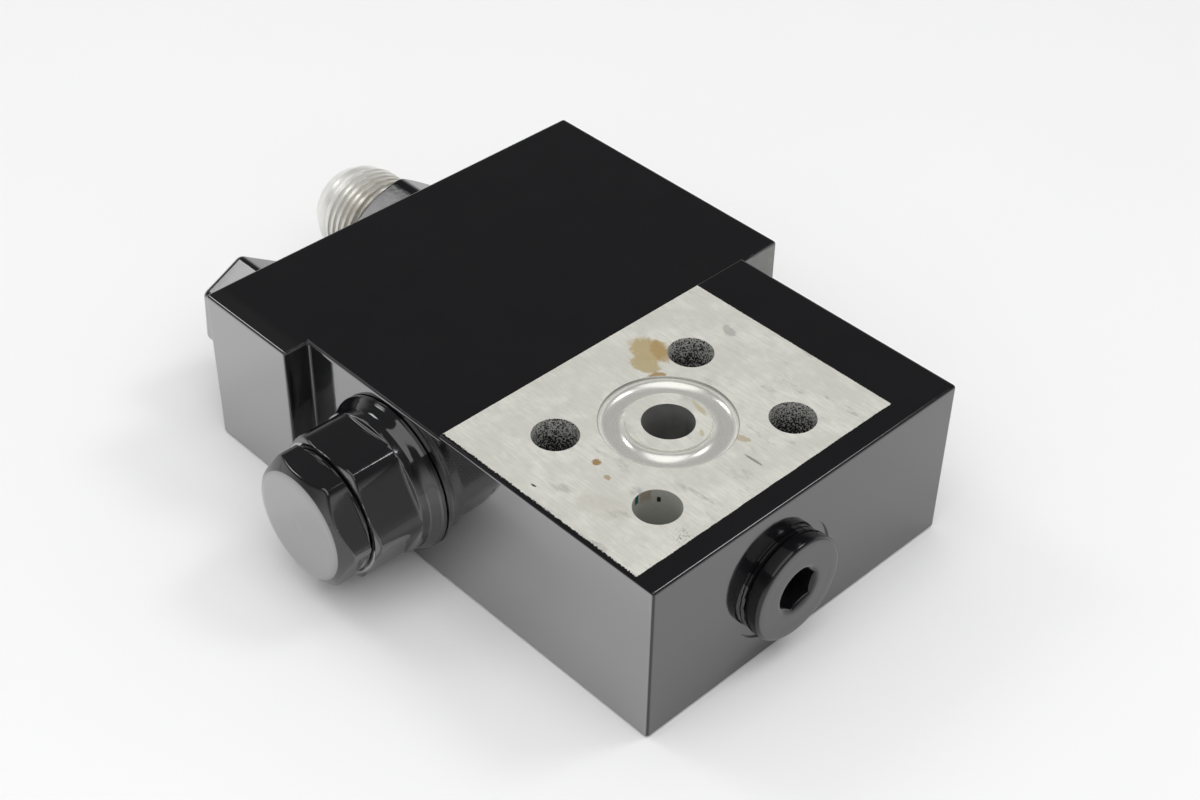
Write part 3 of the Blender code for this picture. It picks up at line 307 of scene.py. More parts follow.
def body_finish():
    """Enamel on every outer face, with the bare pad inside the masked outline."""
    material, tree, shader, place = start_finish("gloss_enamel_and_bare_pad")
    paint, paint_rough, paint_relief = lay_enamel(tree, place)
    steel, steel_rough, steel_height = bare_pad(tree, place)
    x, y, z = coordinates(tree, place)
    # The masking tape's edge wanders slowly, and the paint tore finely along it.
    wander = maths(tree, "SUBTRACT", noise(tree, place, 6.0, 3.0), 0.5)
    tear = maths(tree, "SUBTRACT", noise(tree, place, 0.5, 4.0, 0.7), 0.5)
    fray = maths(tree, "MULTIPLY_ADD", tear, 0.5, maths(tree, "MULTIPLY", wander, 0.5))
    masked_front, masked_right = 30.5, 41.9
    pad_z, step, left = 1000 * pad_height, 1000 * step_x, 1000 * left_y
    land, groove, deep = 1000 * land_radius, 1000 * groove_radius, 1000 * groove_depth
    in_front = maths(tree, "LESS_THAN", maths(tree, "ADD", x, fray), masked_front)
    in_right = maths(tree, "LESS_THAN", maths(tree, "MULTIPLY_ADD", tear, 0.5, y), masked_right)
    beyond_step = maths(tree, "GREATER_THAN", x, step + 0.1)
    flakes = noise(tree, place, 0.3, 3.0, 0.8, 2.0)
    lip = maths(tree, "MULTIPLY_ADD", flakes, 2.2, z)
    on_top = ramp(tree, lip, pad_z + 0.82, pad_z + 0.9)
    flat_top = maths(tree, "GREATER_THAN", z, pad_z - 0.02)
    groove_zone = maths(tree, "GREATER_THAN", z, pad_z - deep - 0.2)
    radius = maths(tree, "SQRT", maths(tree, "MULTIPLY_ADD", x, x, maths(tree, "MULTIPLY", y, y)))
    in_groove = maths(tree, "MULTIPLY", groove_zone, maths(tree, "LESS_THAN", radius, groove + 0.3))
    top = maths(tree, "MAXIMUM", maths(tree, "MAXIMUM", on_top, flat_top), in_groove)
    # Along the left edge, spray crept under the tape in specks.
    crept = noise(tree, place, 0.55, 5.0, 0.75, 5.0)
    crept = maths(tree, "ADD", crept, ramp(tree, y, left + 0.3, left + 2.2, 0.34, -0.3))
    in_left = maths(tree, "LESS_THAN", crept, 0.5)
    masked = maths(tree, "MULTIPLY", maths(tree, "MULTIPLY", in_front, in_right), in_left)
    bare = maths(tree, "MULTIPLY", masked, maths(tree, "MULTIPLY", beyond_step, top))
    off_land = maths(tree, "GREATER_THAN", radius, land)
    hollowed = maths(tree, "MULTIPLY", off_land, maths(tree, "LESS_THAN", radius, groove + 0.2))
    # The groove's colour is painted light: a painted highlight in its trough and painted shade up its steep walls
    # towards the pad face.
    walls = ramp(tree, z, pad_z - 0.95, pad_z - 0.45)
    groove_light_and_shade = blend_colour(tree, walls, (0.84, 0.83, 0.78), (0.4, 0.39, 0.375))
    steel = blend_colour(tree, hollowed, steel, groove_light_and_shade)
    turned = steel_rings(tree, place, "Z", (0.0, 0.0, pad_z), 0.3)
    steel_rough = blend_value(tree, hollowed, steel_rough, ramp(tree, turned, 0.3, 0.7, 0.2, 0.3))
    steel_height = blend_value(tree, hollowed, steel_height, turned)
    steel_relief = bumped(tree, steel_height, 0.00002, 0.5)
    connect(
        tree,
        shader,
        Base_Color=blend_colour(tree, bare, paint, steel),
        Roughness=blend_value(tree, bare, paint_rough, steel_rough),
        Metallic=maths(tree, "MULTIPLY", bare, blend_value(tree, hollowed, 0.3, 0.6)),
        # Specular is doubled on the left shoulder beyond the left face, a painted reflection that lightens it.
        Specular_IOR_Level=ramp(tree, y, left - 1.0, left - 4.0, 0.5, 1.0),
        Coat_Weight=maths(tree, "MULTIPLY", gloss(tree, shader), maths(tree, "SUBTRACT", 1.0, bare)),
        Normal=blend_relief(tree, bare, paint_relief, steel_relief),
        Coat_Normal=paint_relief,
    )
    return material


def bolt_hole_finish(name, overspray):
    """Drilled steel; paint mist settled on the wall of every hole that wasn't plugged."""
    material, tree, shader, place = start_finish(name)
    z = coordinates(tree, place)[2]
    drilled = noise(tree, place, 0.5, 3.0)
    pale = (0.74, 0.74, 0.7) if overspray else (0.6, 0.6, 0.55)
    steel = blend_colour(tree, drilled, tuple(0.74 * part for part in pale), pale)
    if overspray:
        mist = noise(tree, place, 0.42, 3.0, 0.6, 3.0)
        depth = ramp(tree, z, 45.0, 34.0, 0.0, 0.1)
        dots = ramp(tree, maths(tree, "ADD", mist, depth), 0.5, 0.56)
        wiped = blotch(tree, place, (-18.2, 17.6), (3.4, 3.4), 0, 0.6, 19.0, 0.5)
        dots = maths(tree, "MULTIPLY", dots, maths(tree, "SUBTRACT", 1.0, wiped))
        colour = blend_colour(tree, dots, steel, (0.012, 0.012, 0.012))
        metallic = ramp(tree, dots, 0.0, 1.0, 0.3, 0.0)
    else:
        rust = blotch(tree, place, (13.2, -20.4), (1.1, 1.9), 0, 1.1, 14.0)
        rust = maths(tree, "MULTIPLY", rust, ramp(tree, z, 40.8, 43.4, 0.0, 0.5))
        colour = blend_colour(tree, rust, steel, (0.27, 0.17, 0.08))
        green = blotch(tree, place, (12.9, -23.0), (0.6, 0.8), 0, 0.5, 15.0)
        green = maths(tree, "MULTIPLY", green, ramp(tree, z, 42.4, 42.7))
        colour = blend_colour(tree, green, colour, (0.0, 0.12, 0.09))
        scab = blotch(tree, place, (14.8, -17.8), (0.5, 0.55), 0, 0.6, 16.0)
        scab = maths(tree, "MULTIPLY", scab, ramp(tree, z, 41.2, 41.5))
        scab = maths(tree, "MULTIPLY", scab, ramp(tree, z, 43.0, 42.6))
        colour = blend_colour(tree, scab, colour, (0.02, 0.018, 0.015))
        metallic = 0.35
    relief = bumped(tree, drilled, 0.00004, 0.6)
    connect(tree, shader, Base_Color=colour, Roughness=0.42, Metallic=metallic, Normal=relief)
    return material


def arc(centre, radius, start, end, steps):
    """Points of an arc in a profile, from one angle to another in degrees."""
    angles = [math.radians(start + (end - start) * i / steps) for i in range(steps + 1)]
    return [(centre[0] + radius * math.cos(a), centre[1] + radius * math.sin(a)) for a in angles]


def make_piece(name, bm):
    """A piece in the scene from a finished bmesh, which is freed."""
    bmesh.ops.recalc_face_normals(bm, faces=bm.faces)
    mesh = bpy.data.meshes.new(name)
    bm.to_mesh(mesh)
    bm.free()
    made = bpy.data.objects.new(name, mesh)
    bpy.context.scene.collection.objects.link(made)
    return made


def lathe(name, profile, seat, columns, closed=False):
    """Turn a profile of (radius, height) or (radius, height, shape) rows about a seat's axis.

    A shape takes an angle, a radius and a height, and gives the radius there.
    """
    bm = bmesh.new()
    rows = []
    for row in profile:
        radius, height, shape = (*row, None)[:3]
        if radius == 0:
            rows.append([bm.verts.new(seat @ Vector((0, 0, height)))])
            continue
        ring = []
        for angle in columns:
            reach = shape(angle, radius, height) if shape else radius
            spot = Vector((reach * math.cos(angle), reach * math.sin(angle), height))
            ring.append(bm.verts.new(seat @ spot))
        rows.append(ring)
    pairs = list(zip(rows, rows[1:]))
    if closed:
        pairs.append((rows[-1], rows[0]))
    count = len(columns)
    for upper, lower in pairs:
        for i in range(count):
            j = (i + 1) % count
            corners = [(upper, i), (lower, i), (lower, j), (upper, j)]
            bm.faces.new(dict.fromkeys(row[k % len(row)] for row, k in corners))
    made = make_piece(name, bm)
    made.data.shade_smooth()
    return made


def even_columns(count):
    """Even angles round a circle."""
    return [2 * math.pi * i / count for i in range(count)]


def seat_at(location, axis):
    """A matrix at a place whose +Z runs along an axis out of the body."""
    turns = {
        "+X": Matrix.Rotation(math.pi / 2, 4, "Y"),
        "-X": Matrix.Rotation(-math.pi / 2, 4, "Y"),
        "+Y": Matrix.Rotation(-math.pi / 2, 4, "X"),
        "-Y": Matrix.Rotation(math.pi / 2, 4, "X"),
        "+Z": Matrix.Identity(4),
    }
    return Matrix.Translation(location) @ turns[axis]


def cut(target, cutter):
    """Take a cutter away from a piece, and throw the cutter away."""
    step = target.modifiers.new("cut", "BOOLEAN")
    step.operation = "DIFFERENCE"
    step.solver = "EXACT"
    step.object = cutter
    keep_modified(target)
    bpy.data.objects.remove(cutter)


def keep_modified(piece):
    """Keep what the modifiers make as the piece's own mesh."""
    bpy.context.view_layer.update()
    evaluated = piece.evaluated_get(bpy.context.evaluated_depsgraph_get())
    mesh = bpy.data.meshes.new_from_object(evaluated)
    piece.modifiers.clear()
    piece.data = mesh
    mesh.name = piece.name


def block():
    """The sawn and milled block: two shoulders, a notch, and a pad one millimetre proud."""
    bm = bmesh.new()
    left_shoulder, right_shoulder = body_low.y, body_high.y

    def corner(x, y, z):
        for vert in bm.verts:
            if (vert.co - Vector((x, y, z))).length < 0.000001:
                return vert
        return bm.verts.new((x, y, z))

    def face(*points):
        bm.faces.new([corner(*point) for point in points])

    rear = [(rear_x, left_shoulder), (notch_x, left_shoulder), (notch_x, left_y)]
    back = [(step_x, right_shoulder), (rear_x, right_shoulder)]
    outline = rear + [(front_x, left_y), (front_x, right_y), (step_x, right_y)] + back
    top, pad = rear_height, pad_height
    face(*[(x, y, 0) for x, y in reversed(outline)])
    face(*[(x, y, top) for x, y in rear + [(step_x, left_y), (step_x, right_y)] + back])
    face((step_x, left_y, pad), (front_x, left_y, pad), (front_x, right_y, pad), (step_x, right_y, pad))
    face((step_x, left_y, top), (step_x, left_y, pad), (step_x, right_y, pad), (step_x, right_y, top))
    walls = [(rear[0], rear[1]), (rear[1], rear[2]), (back[0], back[1]), (back[1], rear[0])]
    for (x0, y0), (x1, y1) in walls:
        face((x0, y0, 0), (x1, y1, 0), (x1, y1, top), (x0, y0, top))
    face(
        (notch_x, left_y, 0),
        (front_x, left_y, 0),
        (front_x, left_y, pad),
        (step_x, left_y, pad),
        (step_x, left_y, top),
        (notch_x, left_y, top),
    )
    face((front_x, left_y, 0), (front_x, right_y, 0), (front_x, right_y, pad), (front_x, left_y, pad))
    face(
        (front_x, right_y, 0),
        (step_x, right_y, 0),
        (step_x, right_y, top),
        (step_x, right_y, pad),
        (front_x, right_y, pad),
    )
    face((step_x, right_y, 0), (step_x, right_shoulder, 0), (step_x, right_shoulder, top), (step_x, right_y, top))
    weight = bm.edges.layers.float.new("bevel_weight_edge")
    for edge in bm.edges:
        middle = (edge.verts[0].co + edge.verts[1].co) / 2
        upright = abs(edge.verts[0].co.z - edge.verts[1].co.z) > edge_round
        at_step = abs(middle.x - step_x) < 0.0001
        along_step = at_step and left_y < middle.y < right_y and middle.z > top - 0.0001
        edge[weight] = 1.0
        if along_step or (at_step and upright and middle.z > top):
            edge[weight] = step_round / edge_round if middle.z > top else 0.0
    made = make_piece("painted_body", bm)
    rounding = made.modifiers.new("sprayed_edges", "BEVEL")
    rounding.limit_method = "WEIGHT"
    rounding.width = edge_round
    rounding.segments = 4
    rounding.use_clamp_overlap = False
    keep_modified(made)
    return made


painted_body = block()
port_seat = seat_at((0, 0, pad_height), "+Z")
main_seat = seat_at((bore_x, left_y, bore_z), "-Y")
relief_seat = seat_at((rear_x, relief_y, bore_z), "-X")
adaptor_seat = seat_at((rear_x, adaptor_y, bore_z), "-X")
plug_seat = seat_at((front_x, gallery_y, gallery_z), "+X")
return_seat = seat_at((return_x, body_high.y, bore_z), "+Y")
body_depth = body_high.y - left_y
smooth_round = even_columns(96)

groove_middle = (groove_radius + land_radius) / 2
groove_half = (groove_radius - land_radius) / 2
groove_rows = [(groove_radius + groove_lip, cutter_reach), (groove_radius + groove_lip, 0.0)]
groove_rows += [(groove_radius, -groove_lip)]
for i in range(25):
    angle = math.pi * i / 24
    drop = groove_wall + (groove_depth - groove_wall) * math.sin(angle)
    groove_rows.append((groove_middle + groove_half * math.cos(angle), -drop))
groove_rows += [(land_radius, -groove_lip / 2), (land_radius - groove_lip / 2, 0.0)]
groove_rows += [(land_radius - groove_lip / 2, cutter_reach)]
cut(painted_body, lathe("groove", groove_rows, port_seat, even_columns(160), closed=True))


def bore(name, rows, seat, columns=smooth_round):
    """Cut a stepped bore into the block: radius and height at each corner, mouth first."""
    rows = [(0, rows[0][1]), *rows, (0, rows[-1][1])]
    cut(painted_body, lathe(name, rows, seat, columns))


port_chamfer = 0.00015
port_rows = [
    (port_radius + port_chamfer + cutter_reach, cutter_reach),
    (port_radius, -port_chamfer),
    (port_radius, gallery_z - pad_height),
]
bore("port", port_rows, port_seat)
main_rows = [
    (0.0188, cutter_reach),
    (0.0188, 0),
    (0.0165, -0.003),
    (0.0165, -0.01),
    (0.015, -0.01),
    (0.015, -0.018),
    (0.012, -0.018),
    (0.012, -0.0545),
    (0.009, -0.0545),
    (0.009, -0.09),
    (0.002, -0.09),
    (0.002, 0.014 - body_depth),
    (0.00625, 0.0109 - body_depth),
    (0.00625, 0.0004 - body_depth),
    (0.012, 0.0004 - body_depth),
    (0.012, -cutter_reach - body_depth),
]
bore("main_bore", main_rows, main_seat)
gallery_rows = [
    (spotface_radius, cutter_reach),
    (spotface_radius, -spotface_depth),
    (0.011, -spotface_depth),
    (0.011, -0.015),
    (0.0065, -0.01725),
    (0.0065, -0.0802),
]
bore("gallery", gallery_rows, plug_seat)
relief_rows = [
    (0.01161, cutter_reach),
    (0.01161, 0),
    (0.01, -0.0021),
    (0.01, -0.009),
    (0.0085, -0.009),
    (0.0085, -0.0285),
    (0.0065, -0.0285),
    (0.0065, -0.036),
    (0.0025, -0.036),
    (0.0025, -0.05),
]
bore("relief_bore", relief_rows, relief_seat)
adaptor_port_rows = [
    (0.0159, cutter_reach),
    (0.0159, 0),
    (0.0136, -0.003),
    (0.0136, -0.017),
    (0.0075, -0.017),
    (0.0075, -0.0618),
]
bore("adaptor_port", adaptor_port_rows, adaptor_seat)
return_rows = [
    (0.004, cutter_reach),
    (0.004, -0.006),
    (0.002, -0.006),
    (0.002, -0.09885),
]
bore("return_bore", return_rows, return_seat, even_columns(48))
bolt_rows = [(bolt_hole_radius, cutter_reach), (bolt_hole_radius, -pad_height - cutter_reach)]
bolt_places = []
for row in (-1, 1):
    for side in (-1, 1):
        place = (bolt_centre[0] + row * bolt_spacing[0] / 2, bolt_centre[1] + side * bolt_spacing[1] / 2)
        bolt_places.append(place)
        bore("bolt_hole", bolt_rows, seat_at((*place, pad_height), "+Z"), even_columns(72))
clean_hole = bolt_places[2]

body_mesh = painted_body.data
body_mesh.materials.clear()
body_mesh.materials.append(body_finish())
body_mesh.materials.append(turned_steel("bored_steel", "Z", (0, 0, 45), (0.27, 0.27, 0.26), 0.42, 0.4))
body_mesh.materials.append(bolt_hole_finish("oversprayed_hole", True))
body_mesh.materials.append(bolt_hole_finish("clean_hole", False))
on_outside, in_bore, in_sprayed_hole, in_clean_hole = range(4)
paint_reach = 0.00105
wall_slack = 0.0001


def painted_depth(point):
    """How deep a point lies under the nearest outer face of the block."""
    x, y, z = point
    sides = [x - rear_x, front_x - x, z, (rear_height if x < step_x else pad_height) - z]
    sides.append(y - (body_low.y if x < notch_x else left_y))
    sides.append((body_high.y if x < step_x else right_y) - y)
    return min(sides)


for polygon in body_mesh.polygons:
    centre = polygon.center
    reach = math.hypot(centre.x, centre.y)
    upright = abs(polygon.normal.z) < 0.5
    in_groove = land_radius - 0.0005 < reach < groove_radius + 0.0005 and centre.z > pad_height - 0.003
    in_port = upright and reach < port_radius + wall_slack and centre.z > gallery_z
    bored = painted_depth(centre) > paint_reach and not in_groove
    polygon.material_index = in_bore if bored or in_port else on_outside
    for place in bolt_places:
        away = math.hypot(centre.x - place[0], centre.y - place[1])
        if upright and away < bolt_hole_radius + wall_slack:
            polygon.material_index = in_clean_hole if place == clean_hole else in_sprayed_hole
body_mesh.shade_smooth()
body_mesh.set_sharp_from_angle(angle=math.radians(32))
facing = painted_body.modifiers.new("flat_faces", "WEIGHTED_NORMAL")
facing.keep_sharp = True
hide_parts("valve_body")
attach(painted_body, "valve")


# Poppet sleeve, seat ring, poppet and pilot piston: ground steel pieces that slide in
# or line the main bore. Each comes off a lathe, so its finish runs in rings.
def refinish(name, finish):
    """Give its real finish to a piece that keeps its CAD shape."""
    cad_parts[name].material_slots[0].material = finish


main_centre = (1000 * bore_x, 0.0, 1000 * bore_z)
bore_pieces = {
    "poppet_sleeve": ((0.5, 0.5, 0.49), 0.3),
    "seat_ring": ((0.58, 0.57, 0.55), 0.24),
    "main_poppet": ((0.6, 0.6, 0.6), 0.2),
    "pilot_piston": ((0.58, 0.58, 0.57), 0.24),
    "spring_guide": ((0.46, 0.46, 0.45), 0.34),
}
for name, (tint, shine) in bore_pieces.items():
    refinish(name, turned_steel(name + "_steel", "Y", main_centre, tint, shine))


# Seals: moulded nitrile O-rings, and a white backup ring that
# is cut from filled plastic bar and slips in beside the seat's O-ring.
def rubber(name):
    """Black moulded rubber with a dull bloom."""
    material, tree, shader, place = start_finish(name)
    bloom = noise(tree, place, 1.6, 4.0)
    skin = noise(tree, place, 0.12, 2.0)
    colour = blend_colour(tree, ramp(tree, bloom, 0.35, 0.75), (0.012, 0.012, 0.013), (0.035, 0.035, 0.034))
    rough = ramp(tree, bloom, 0.3, 0.7, 0.42, 0.6)
    relief = bumped(tree, skin, 0.00002, 0.5)
    connect(tree, shader, Base_Color=colour, Roughness=rough, Normal=relief)
    return material


def o_ring(node_name, axis, body, finish):
    """A smooth ring in the place of a CAD ring, sized from its box."""
    low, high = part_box(node_name)
    along = "XYZ".index(axis[1])
    across = (along + 1) % 3
    section = (high[along] - low[along]) / 2
    centre_radius = (high[across] - low[across]) / 2 - section
    rows = arc((centre_radius, 0), section, 0, 345, 23)
    made = lathe("moulded_" + node_name, rows, seat_at((low + high) / 2, axis), even_columns(72), closed=True)
    made.data.materials.append(finish)
    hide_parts(node_name)
    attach(made, body)


nitrile = rubber("nitrile_rubber")
o_ring("seat_o_ring", "+Y", "valve", nitrile)
o_ring("pilot_piston_seal", "+Y", "piston", nitrile)
o_ring("housing_o_ring", "+Y", "valve", nitrile)
o_ring("relief_cap_o_ring", "+X", "valve", nitrile)
o_ring("cartridge_o_ring", "+X", "valve", nitrile)
o_ring("adaptor_o_ring", "+X", "valve", nitrile)


def filled_plastic(name):
    """White plastic, turned from bar."""
    material, tree, shader, place = start_finish(name)
    rings = steel_rings(tree, place, "Y", main_centre, 0.3)
    colour = blend_colour(tree, ramp(tree, rings, 0.3, 0.7), (0.74, 0.72, 0.66), (0.82, 0.81, 0.76))
    relief = bumped(tree, rings, 0.00001, 0.5)
    connect(tree, shader, Base_Color=colour, Roughness=0.5, Normal=relief)
    return material


refinish("seat_backup_ring", filled_plastic("filled_white_plastic"))


# Springs: oiled spring wire, coiled with a closed turn at each end.
def spring_wire(name):
    """Drawn wire, dark under a film of oil."""
    material, tree, shader, place = start_finish(name)
    drawn = noise(tree, place, 0.4, 4.0, 0.7)
    oil = noise(tree, place, 3.0, 3.0)
    colour = blend_colour(tree, ramp(tree, oil, 0.35, 0.7), (0.12, 0.12, 0.125), (0.26, 0.25, 0.24))
    rough = ramp(tree, oil, 0.3, 0.7, 0.26, 0.42)
    relief = bumped(tree, drawn, 0.00002, 0.5)
    connect(tree, shader, Base_Color=colour, Roughness=rough, Normal=relief, Metallic=1.0)
    return material


def wound_spring(node_name, axis, wire, active_turns, finish):
    """A coil between the ends of its CAD node; wire is its thickness."""
    low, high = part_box(node_name)
    along = "XYZ".index(axis[1])
    across = (along + 1) % 3
    length = high[along] - low[along]
    mean_radius = (high[across] - low[across]) / 2 - wire / 2
    middle = (low + high) / 2
    middle[along] = low[along]
    seat = seat_at(middle, "+" + axis[1])
    dead_pitch = 1.15 * wire
    active_pitch = (length - wire - 2 * dead_pitch) / active_turns
    per_turn, around = 40, 14
    bm = bmesh.new()
    rings = []
    for i in range((active_turns + 2) * per_turn + 1):
        turn = i / per_turn
        rise = min(turn, 1) * dead_pitch + min(max(turn - 1, 0), active_turns) * active_pitch
        rise += max(turn - 1 - active_turns, 0) * dead_pitch
        angle = 2 * math.pi * turn
        ring = []
        for j in range(around):
            swing = 2 * math.pi * j / around
            reach = mean_radius + wire / 2 * math.cos(swing)
            spot = (reach * math.cos(angle), reach * math.sin(angle), wire / 2 * (1 + math.sin(swing)) + rise)
            ring.append(bm.verts.new(seat @ Vector(spot)))
        rings.append(ring)
    for first, second in zip(rings, rings[1:]):
        for j in range(around):
            k = (j + 1) % around
            bm.faces.new([first[j], first[k], second[k], second[j]])
    bm.faces.new(rings[0])
    bm.faces.new(rings[-1])
    made = make_piece("wound_" + node_name, bm)
    made.data.shade_smooth()
    made.data.materials.append(finish)
    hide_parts(node_name)
    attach(made, "valve")
    direction = Vector((0, 0, 0))
    direction[along] = 1
    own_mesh(made)


oiled_wire = spring_wire("oiled_spring_wire")
wound_spring("main_spring", "-Y", 0.0015, 5, oiled_wire)
wound_spring("pilot_spring", "-Y", 0.0012, 3, oiled_wire)
wound_spring("relief_spring", "-X", 0.0009, 3, oiled_wire)


# Spring housing: turned from round bar with a flared collar, and six flats milled on it
# that end in a step. It is screwed into the body's left face and painted over with it.
paint_softness = 0.0004


def corner_columns(turn, per_corner=24, crowding=1.8):
    """Angles round a hexagon, closer together at its corners; turn in degrees."""
    angles = []
    half = per_corner // 2
    for corner in range(6):
        for i in range(-half, half):
            share = i / half
            angles.append(math.radians(turn + 60 * corner + math.copysign(30 * abs(share) ** crowding, share)))
    return angles


def hexagon_reach(across_flats, corner_radius, turn):
    """A hexagon's radius at an angle, with its corners rounded."""
    apothem = across_flats / 2
    centre = (apothem - corner_radius) / math.cos(math.pi / 6)
    straight = math.atan((apothem - corner_radius) * math.tan(math.pi / 6) / apothem)

    def reach(angle):
        swing = abs((angle - math.radians(turn) + math.pi / 6) % (math.pi / 3) - math.pi / 6)
        from_middle = math.pi / 6 - swing
        if from_middle <= straight:
            return apothem / math.cos(from_middle)
        return centre * math.cos(swing) + math.sqrt(corner_radius**2 - (centre * math.sin(swing)) ** 2)

    return reach


def softened(first, second, width):
    """The lesser of two radii, blended where they meet as thick paint blends an edge."""
    near = max(width - abs(first - second), 0.0) / width
    return min(first, second) - near * near * width / 4


def milled_hexagon(across_flats, corner_radius, turn):
    """The shape of a hexagon cut from a turned form."""
    reach = hexagon_reach(across_flats, corner_radius, turn)
    return lambda angle, radius, height: softened(reach(angle), radius, paint_softness)


def head_rows(face_radius, low, high, shape, chamfer=30.0):
    """Rows of a hexagon's head: a chamfer and the flats."""
    slope = math.tan(math.radians(chamfer))
    wide = 1.28 * face_radius
    steps = 34
    rows = []
    for i in range(steps + 1):
        radius = face_radius + (wide - face_radius) * i / steps
        rows.append((radius, high - (radius - face_radius) * slope, shape))
    return rows + [(wide, low + paint_softness, shape), (wide, low, shape)]


def softened_rim(radius, height, size, drop=0.13, steps=6):
    """Rows that round the rim of a flat face before its chamfer."""
    return [(radius - size + size * i / steps, height - drop * size * (i / steps) ** 2) for i in range(steps)]


def coat(piece, finish):
    """Give a lathed piece its finish, and keep its true edges crisp."""
    piece.data.materials.clear()
    piece.data.materials.append(finish)
    piece.data.shade_smooth()
    piece.data.set_sharp_from_angle(angle=math.radians(50))


def fitting_enamel(name, axis, centre, dimple=0.0, coat_index=3.8, left_face_sheen=1.0, other_face_sheen=0.14):
    """Enamel on a turned fitting; its end face keeps faint rings and a centre mark."""
    material, tree, shader, place = start_finish(name)
    colour, rough, relief = lay_enamel(tree, place)
    radius = around_axis(tree, place, axis, centre)[0]
    pit = ramp(tree, radius, 0.2, 1.6, -dimple, 0.0)
    swirl = maths(tree, "MULTIPLY_ADD", noise(tree, place, 2.5, 2.0), 0.8, radius)
    wave = maths(tree, "MULTIPLY", maths(tree, "SINE", maths(tree, "MULTIPLY", swirl, 2.3)), 0.0035)
    height = maths(tree, "ADD", pit, wave)
    shaped = bumped(tree, height, 0.001, 1.0, relief)
    # The coat's weight follows which way a face looks, a painted difference in reflection between the sides.
    skin = gloss(tree, shader, coat_index, left_face_sheen, other_face_sheen)
    connect(tree, shader, Base_Color=colour, Roughness=rough, Normal=shaped)
    connect(tree, shader, Coat_Normal=shaped, Coat_Weight=skin)
    return material


housing_top = 0.019
housing_face = 0.01715
housing_round = 0.0185
flats_low = 0.0063
collar_reach = 0.0202
milled_flat = hexagon_reach(0.0336, 0.0008, 0.0)


def milled_round(angle):
    """The turned round with its six flats."""
    return softened(milled_flat(angle), housing_round, 0.0009)


def housing_shape(angle, radius, height):
    """The round with its flats, under the chamfer at its front."""
    return softened(milled_round(angle), radius, paint_softness)


def step_shape(share):
    """The wall that a flat ends in, from the flat at 0 to the round at 1."""

    def shape(angle, radius, height):
        flat = milled_round(angle)
        return flat + (housing_round - flat) * share

    return shape


step_wall = [(0.7, 0.0), (0.45, 0.03), (0.28, 0.09), (0.15, 0.2), (0.06, 0.38), (0.0, 0.6)]
step_wall += [(-0.05, 0.78), (-0.12, 0.9), (-0.22, 0.97), (-0.36, 1.0)]
collar_flare = [(0.0185, 0.0043), (0.01853, 0.004), (0.01863, 0.0037), (0.0188, 0.00338), (0.0191, 0.00296)]
collar_flare += [(0.0195, 0.0024), (0.01985, 0.0019), (0.02008, 0.00155)]
housing_rows = [
    (0.01, housing_top),
    *softened_rim(housing_face, housing_top, 0.0008),
    *head_rows(housing_face, flats_low + 0.0008, housing_top, housing_shape),
    *[(housing_round, flats_low + 0.001 * rise, step_shape(share)) for rise, share in step_wall],
    *collar_flare,
    *arc((collar_reach - 0.0004, 0.0011), 0.0004, 45, 0, 3),
    (collar_reach, 0.0003),
    (0.0152, 0.0003),
    (0.0152, -0.003),
    (0.0162, -0.0033),
    (0.0162, -0.0097),
    (0.0115, -0.0097),
    (0.0115, -0.018),
    (0.0065, -0.018),
    (0.0065, 0.0067),
    (0.01, 0.0087),
]
painted_housing = lathe("painted_housing", housing_rows, main_seat, corner_columns(0.0), closed=True)
feed_rows = [(0, 0.015), (0.002, 0.015), (0.002, -0.015), (0, -0.015)]
feed_seat = seat_at((bore_x, relief_y, bore_z), "+X")
cut(painted_housing, lathe("housing_feed", feed_rows, feed_seat, even_columns(32)))
coat(painted_housing, fitting_enamel("housing_enamel", "Y", main_centre))
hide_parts("spring_housing")
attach(painted_housing, "valve")


# End cap: a steel hexagon head with a broad chamfer that the paint has filled, on a
# threaded stem. It screws into the housing and holds the main spring.
cap_low, cap_top = 0.0202, 0.028
cap_shape = milled_hexagon(0.0305, 0.003, 0.0)
cap_face = 0.0142
cap_shoulder = cap_top - 0.0005
cap_rows = [
    (0, cap_top),
    (0.004, cap_top),
    (0.009, cap_top),
    *softened_rim(cap_face, cap_top, 0.0022, 0.24, 10),
    *head_rows(cap_face, cap_low, cap_shoulder, cap_shape, 40.0),
    (0.0125, cap_low),
    (0.0097, cap_low),
    (0.0097, 0.0096),
    (0.0091, 0.009),
    (0, 0.009),
]
painted_cap = lathe("painted_end_cap", cap_rows, main_seat, corner_columns(0.0))
coat(painted_cap, fitting_enamel("end_cap_enamel", "Y", main_centre, dimple=0.05))
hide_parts("end_cap")
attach(painted_cap, "valve")


# End cap seal: a thin metal ring pinched between the cap and the housing; paint has run
# over its edge and nearly fills the seam.
def enamel(name):
    """Plain enamel, as it lies on a small ring."""
    material, tree, shader, place = start_finish(name)
    colour, rough, relief = lay_enamel(tree, place)
    connect(tree, shader, Base_Color=colour, Roughness=rough, Normal=relief)
    connect(tree, shader, Coat_Normal=relief, Coat_Weight=gloss(tree, shader))
    return material


seal_finish = enamel("seal_ring_enamel")
seal_rows = [(0.0098, 0.0191), *arc((0.0154, 0.01963), 0.0005, -90, 90, 10), (0.0098, 0.0201)]
painted_seal = lathe("painted_end_cap_seal", seal_rows, main_seat, even_columns(120), closed=True)
painted_seal.data.materials.append(seal_finish)
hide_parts("end_cap_seal")
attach(painted_seal, "valve")


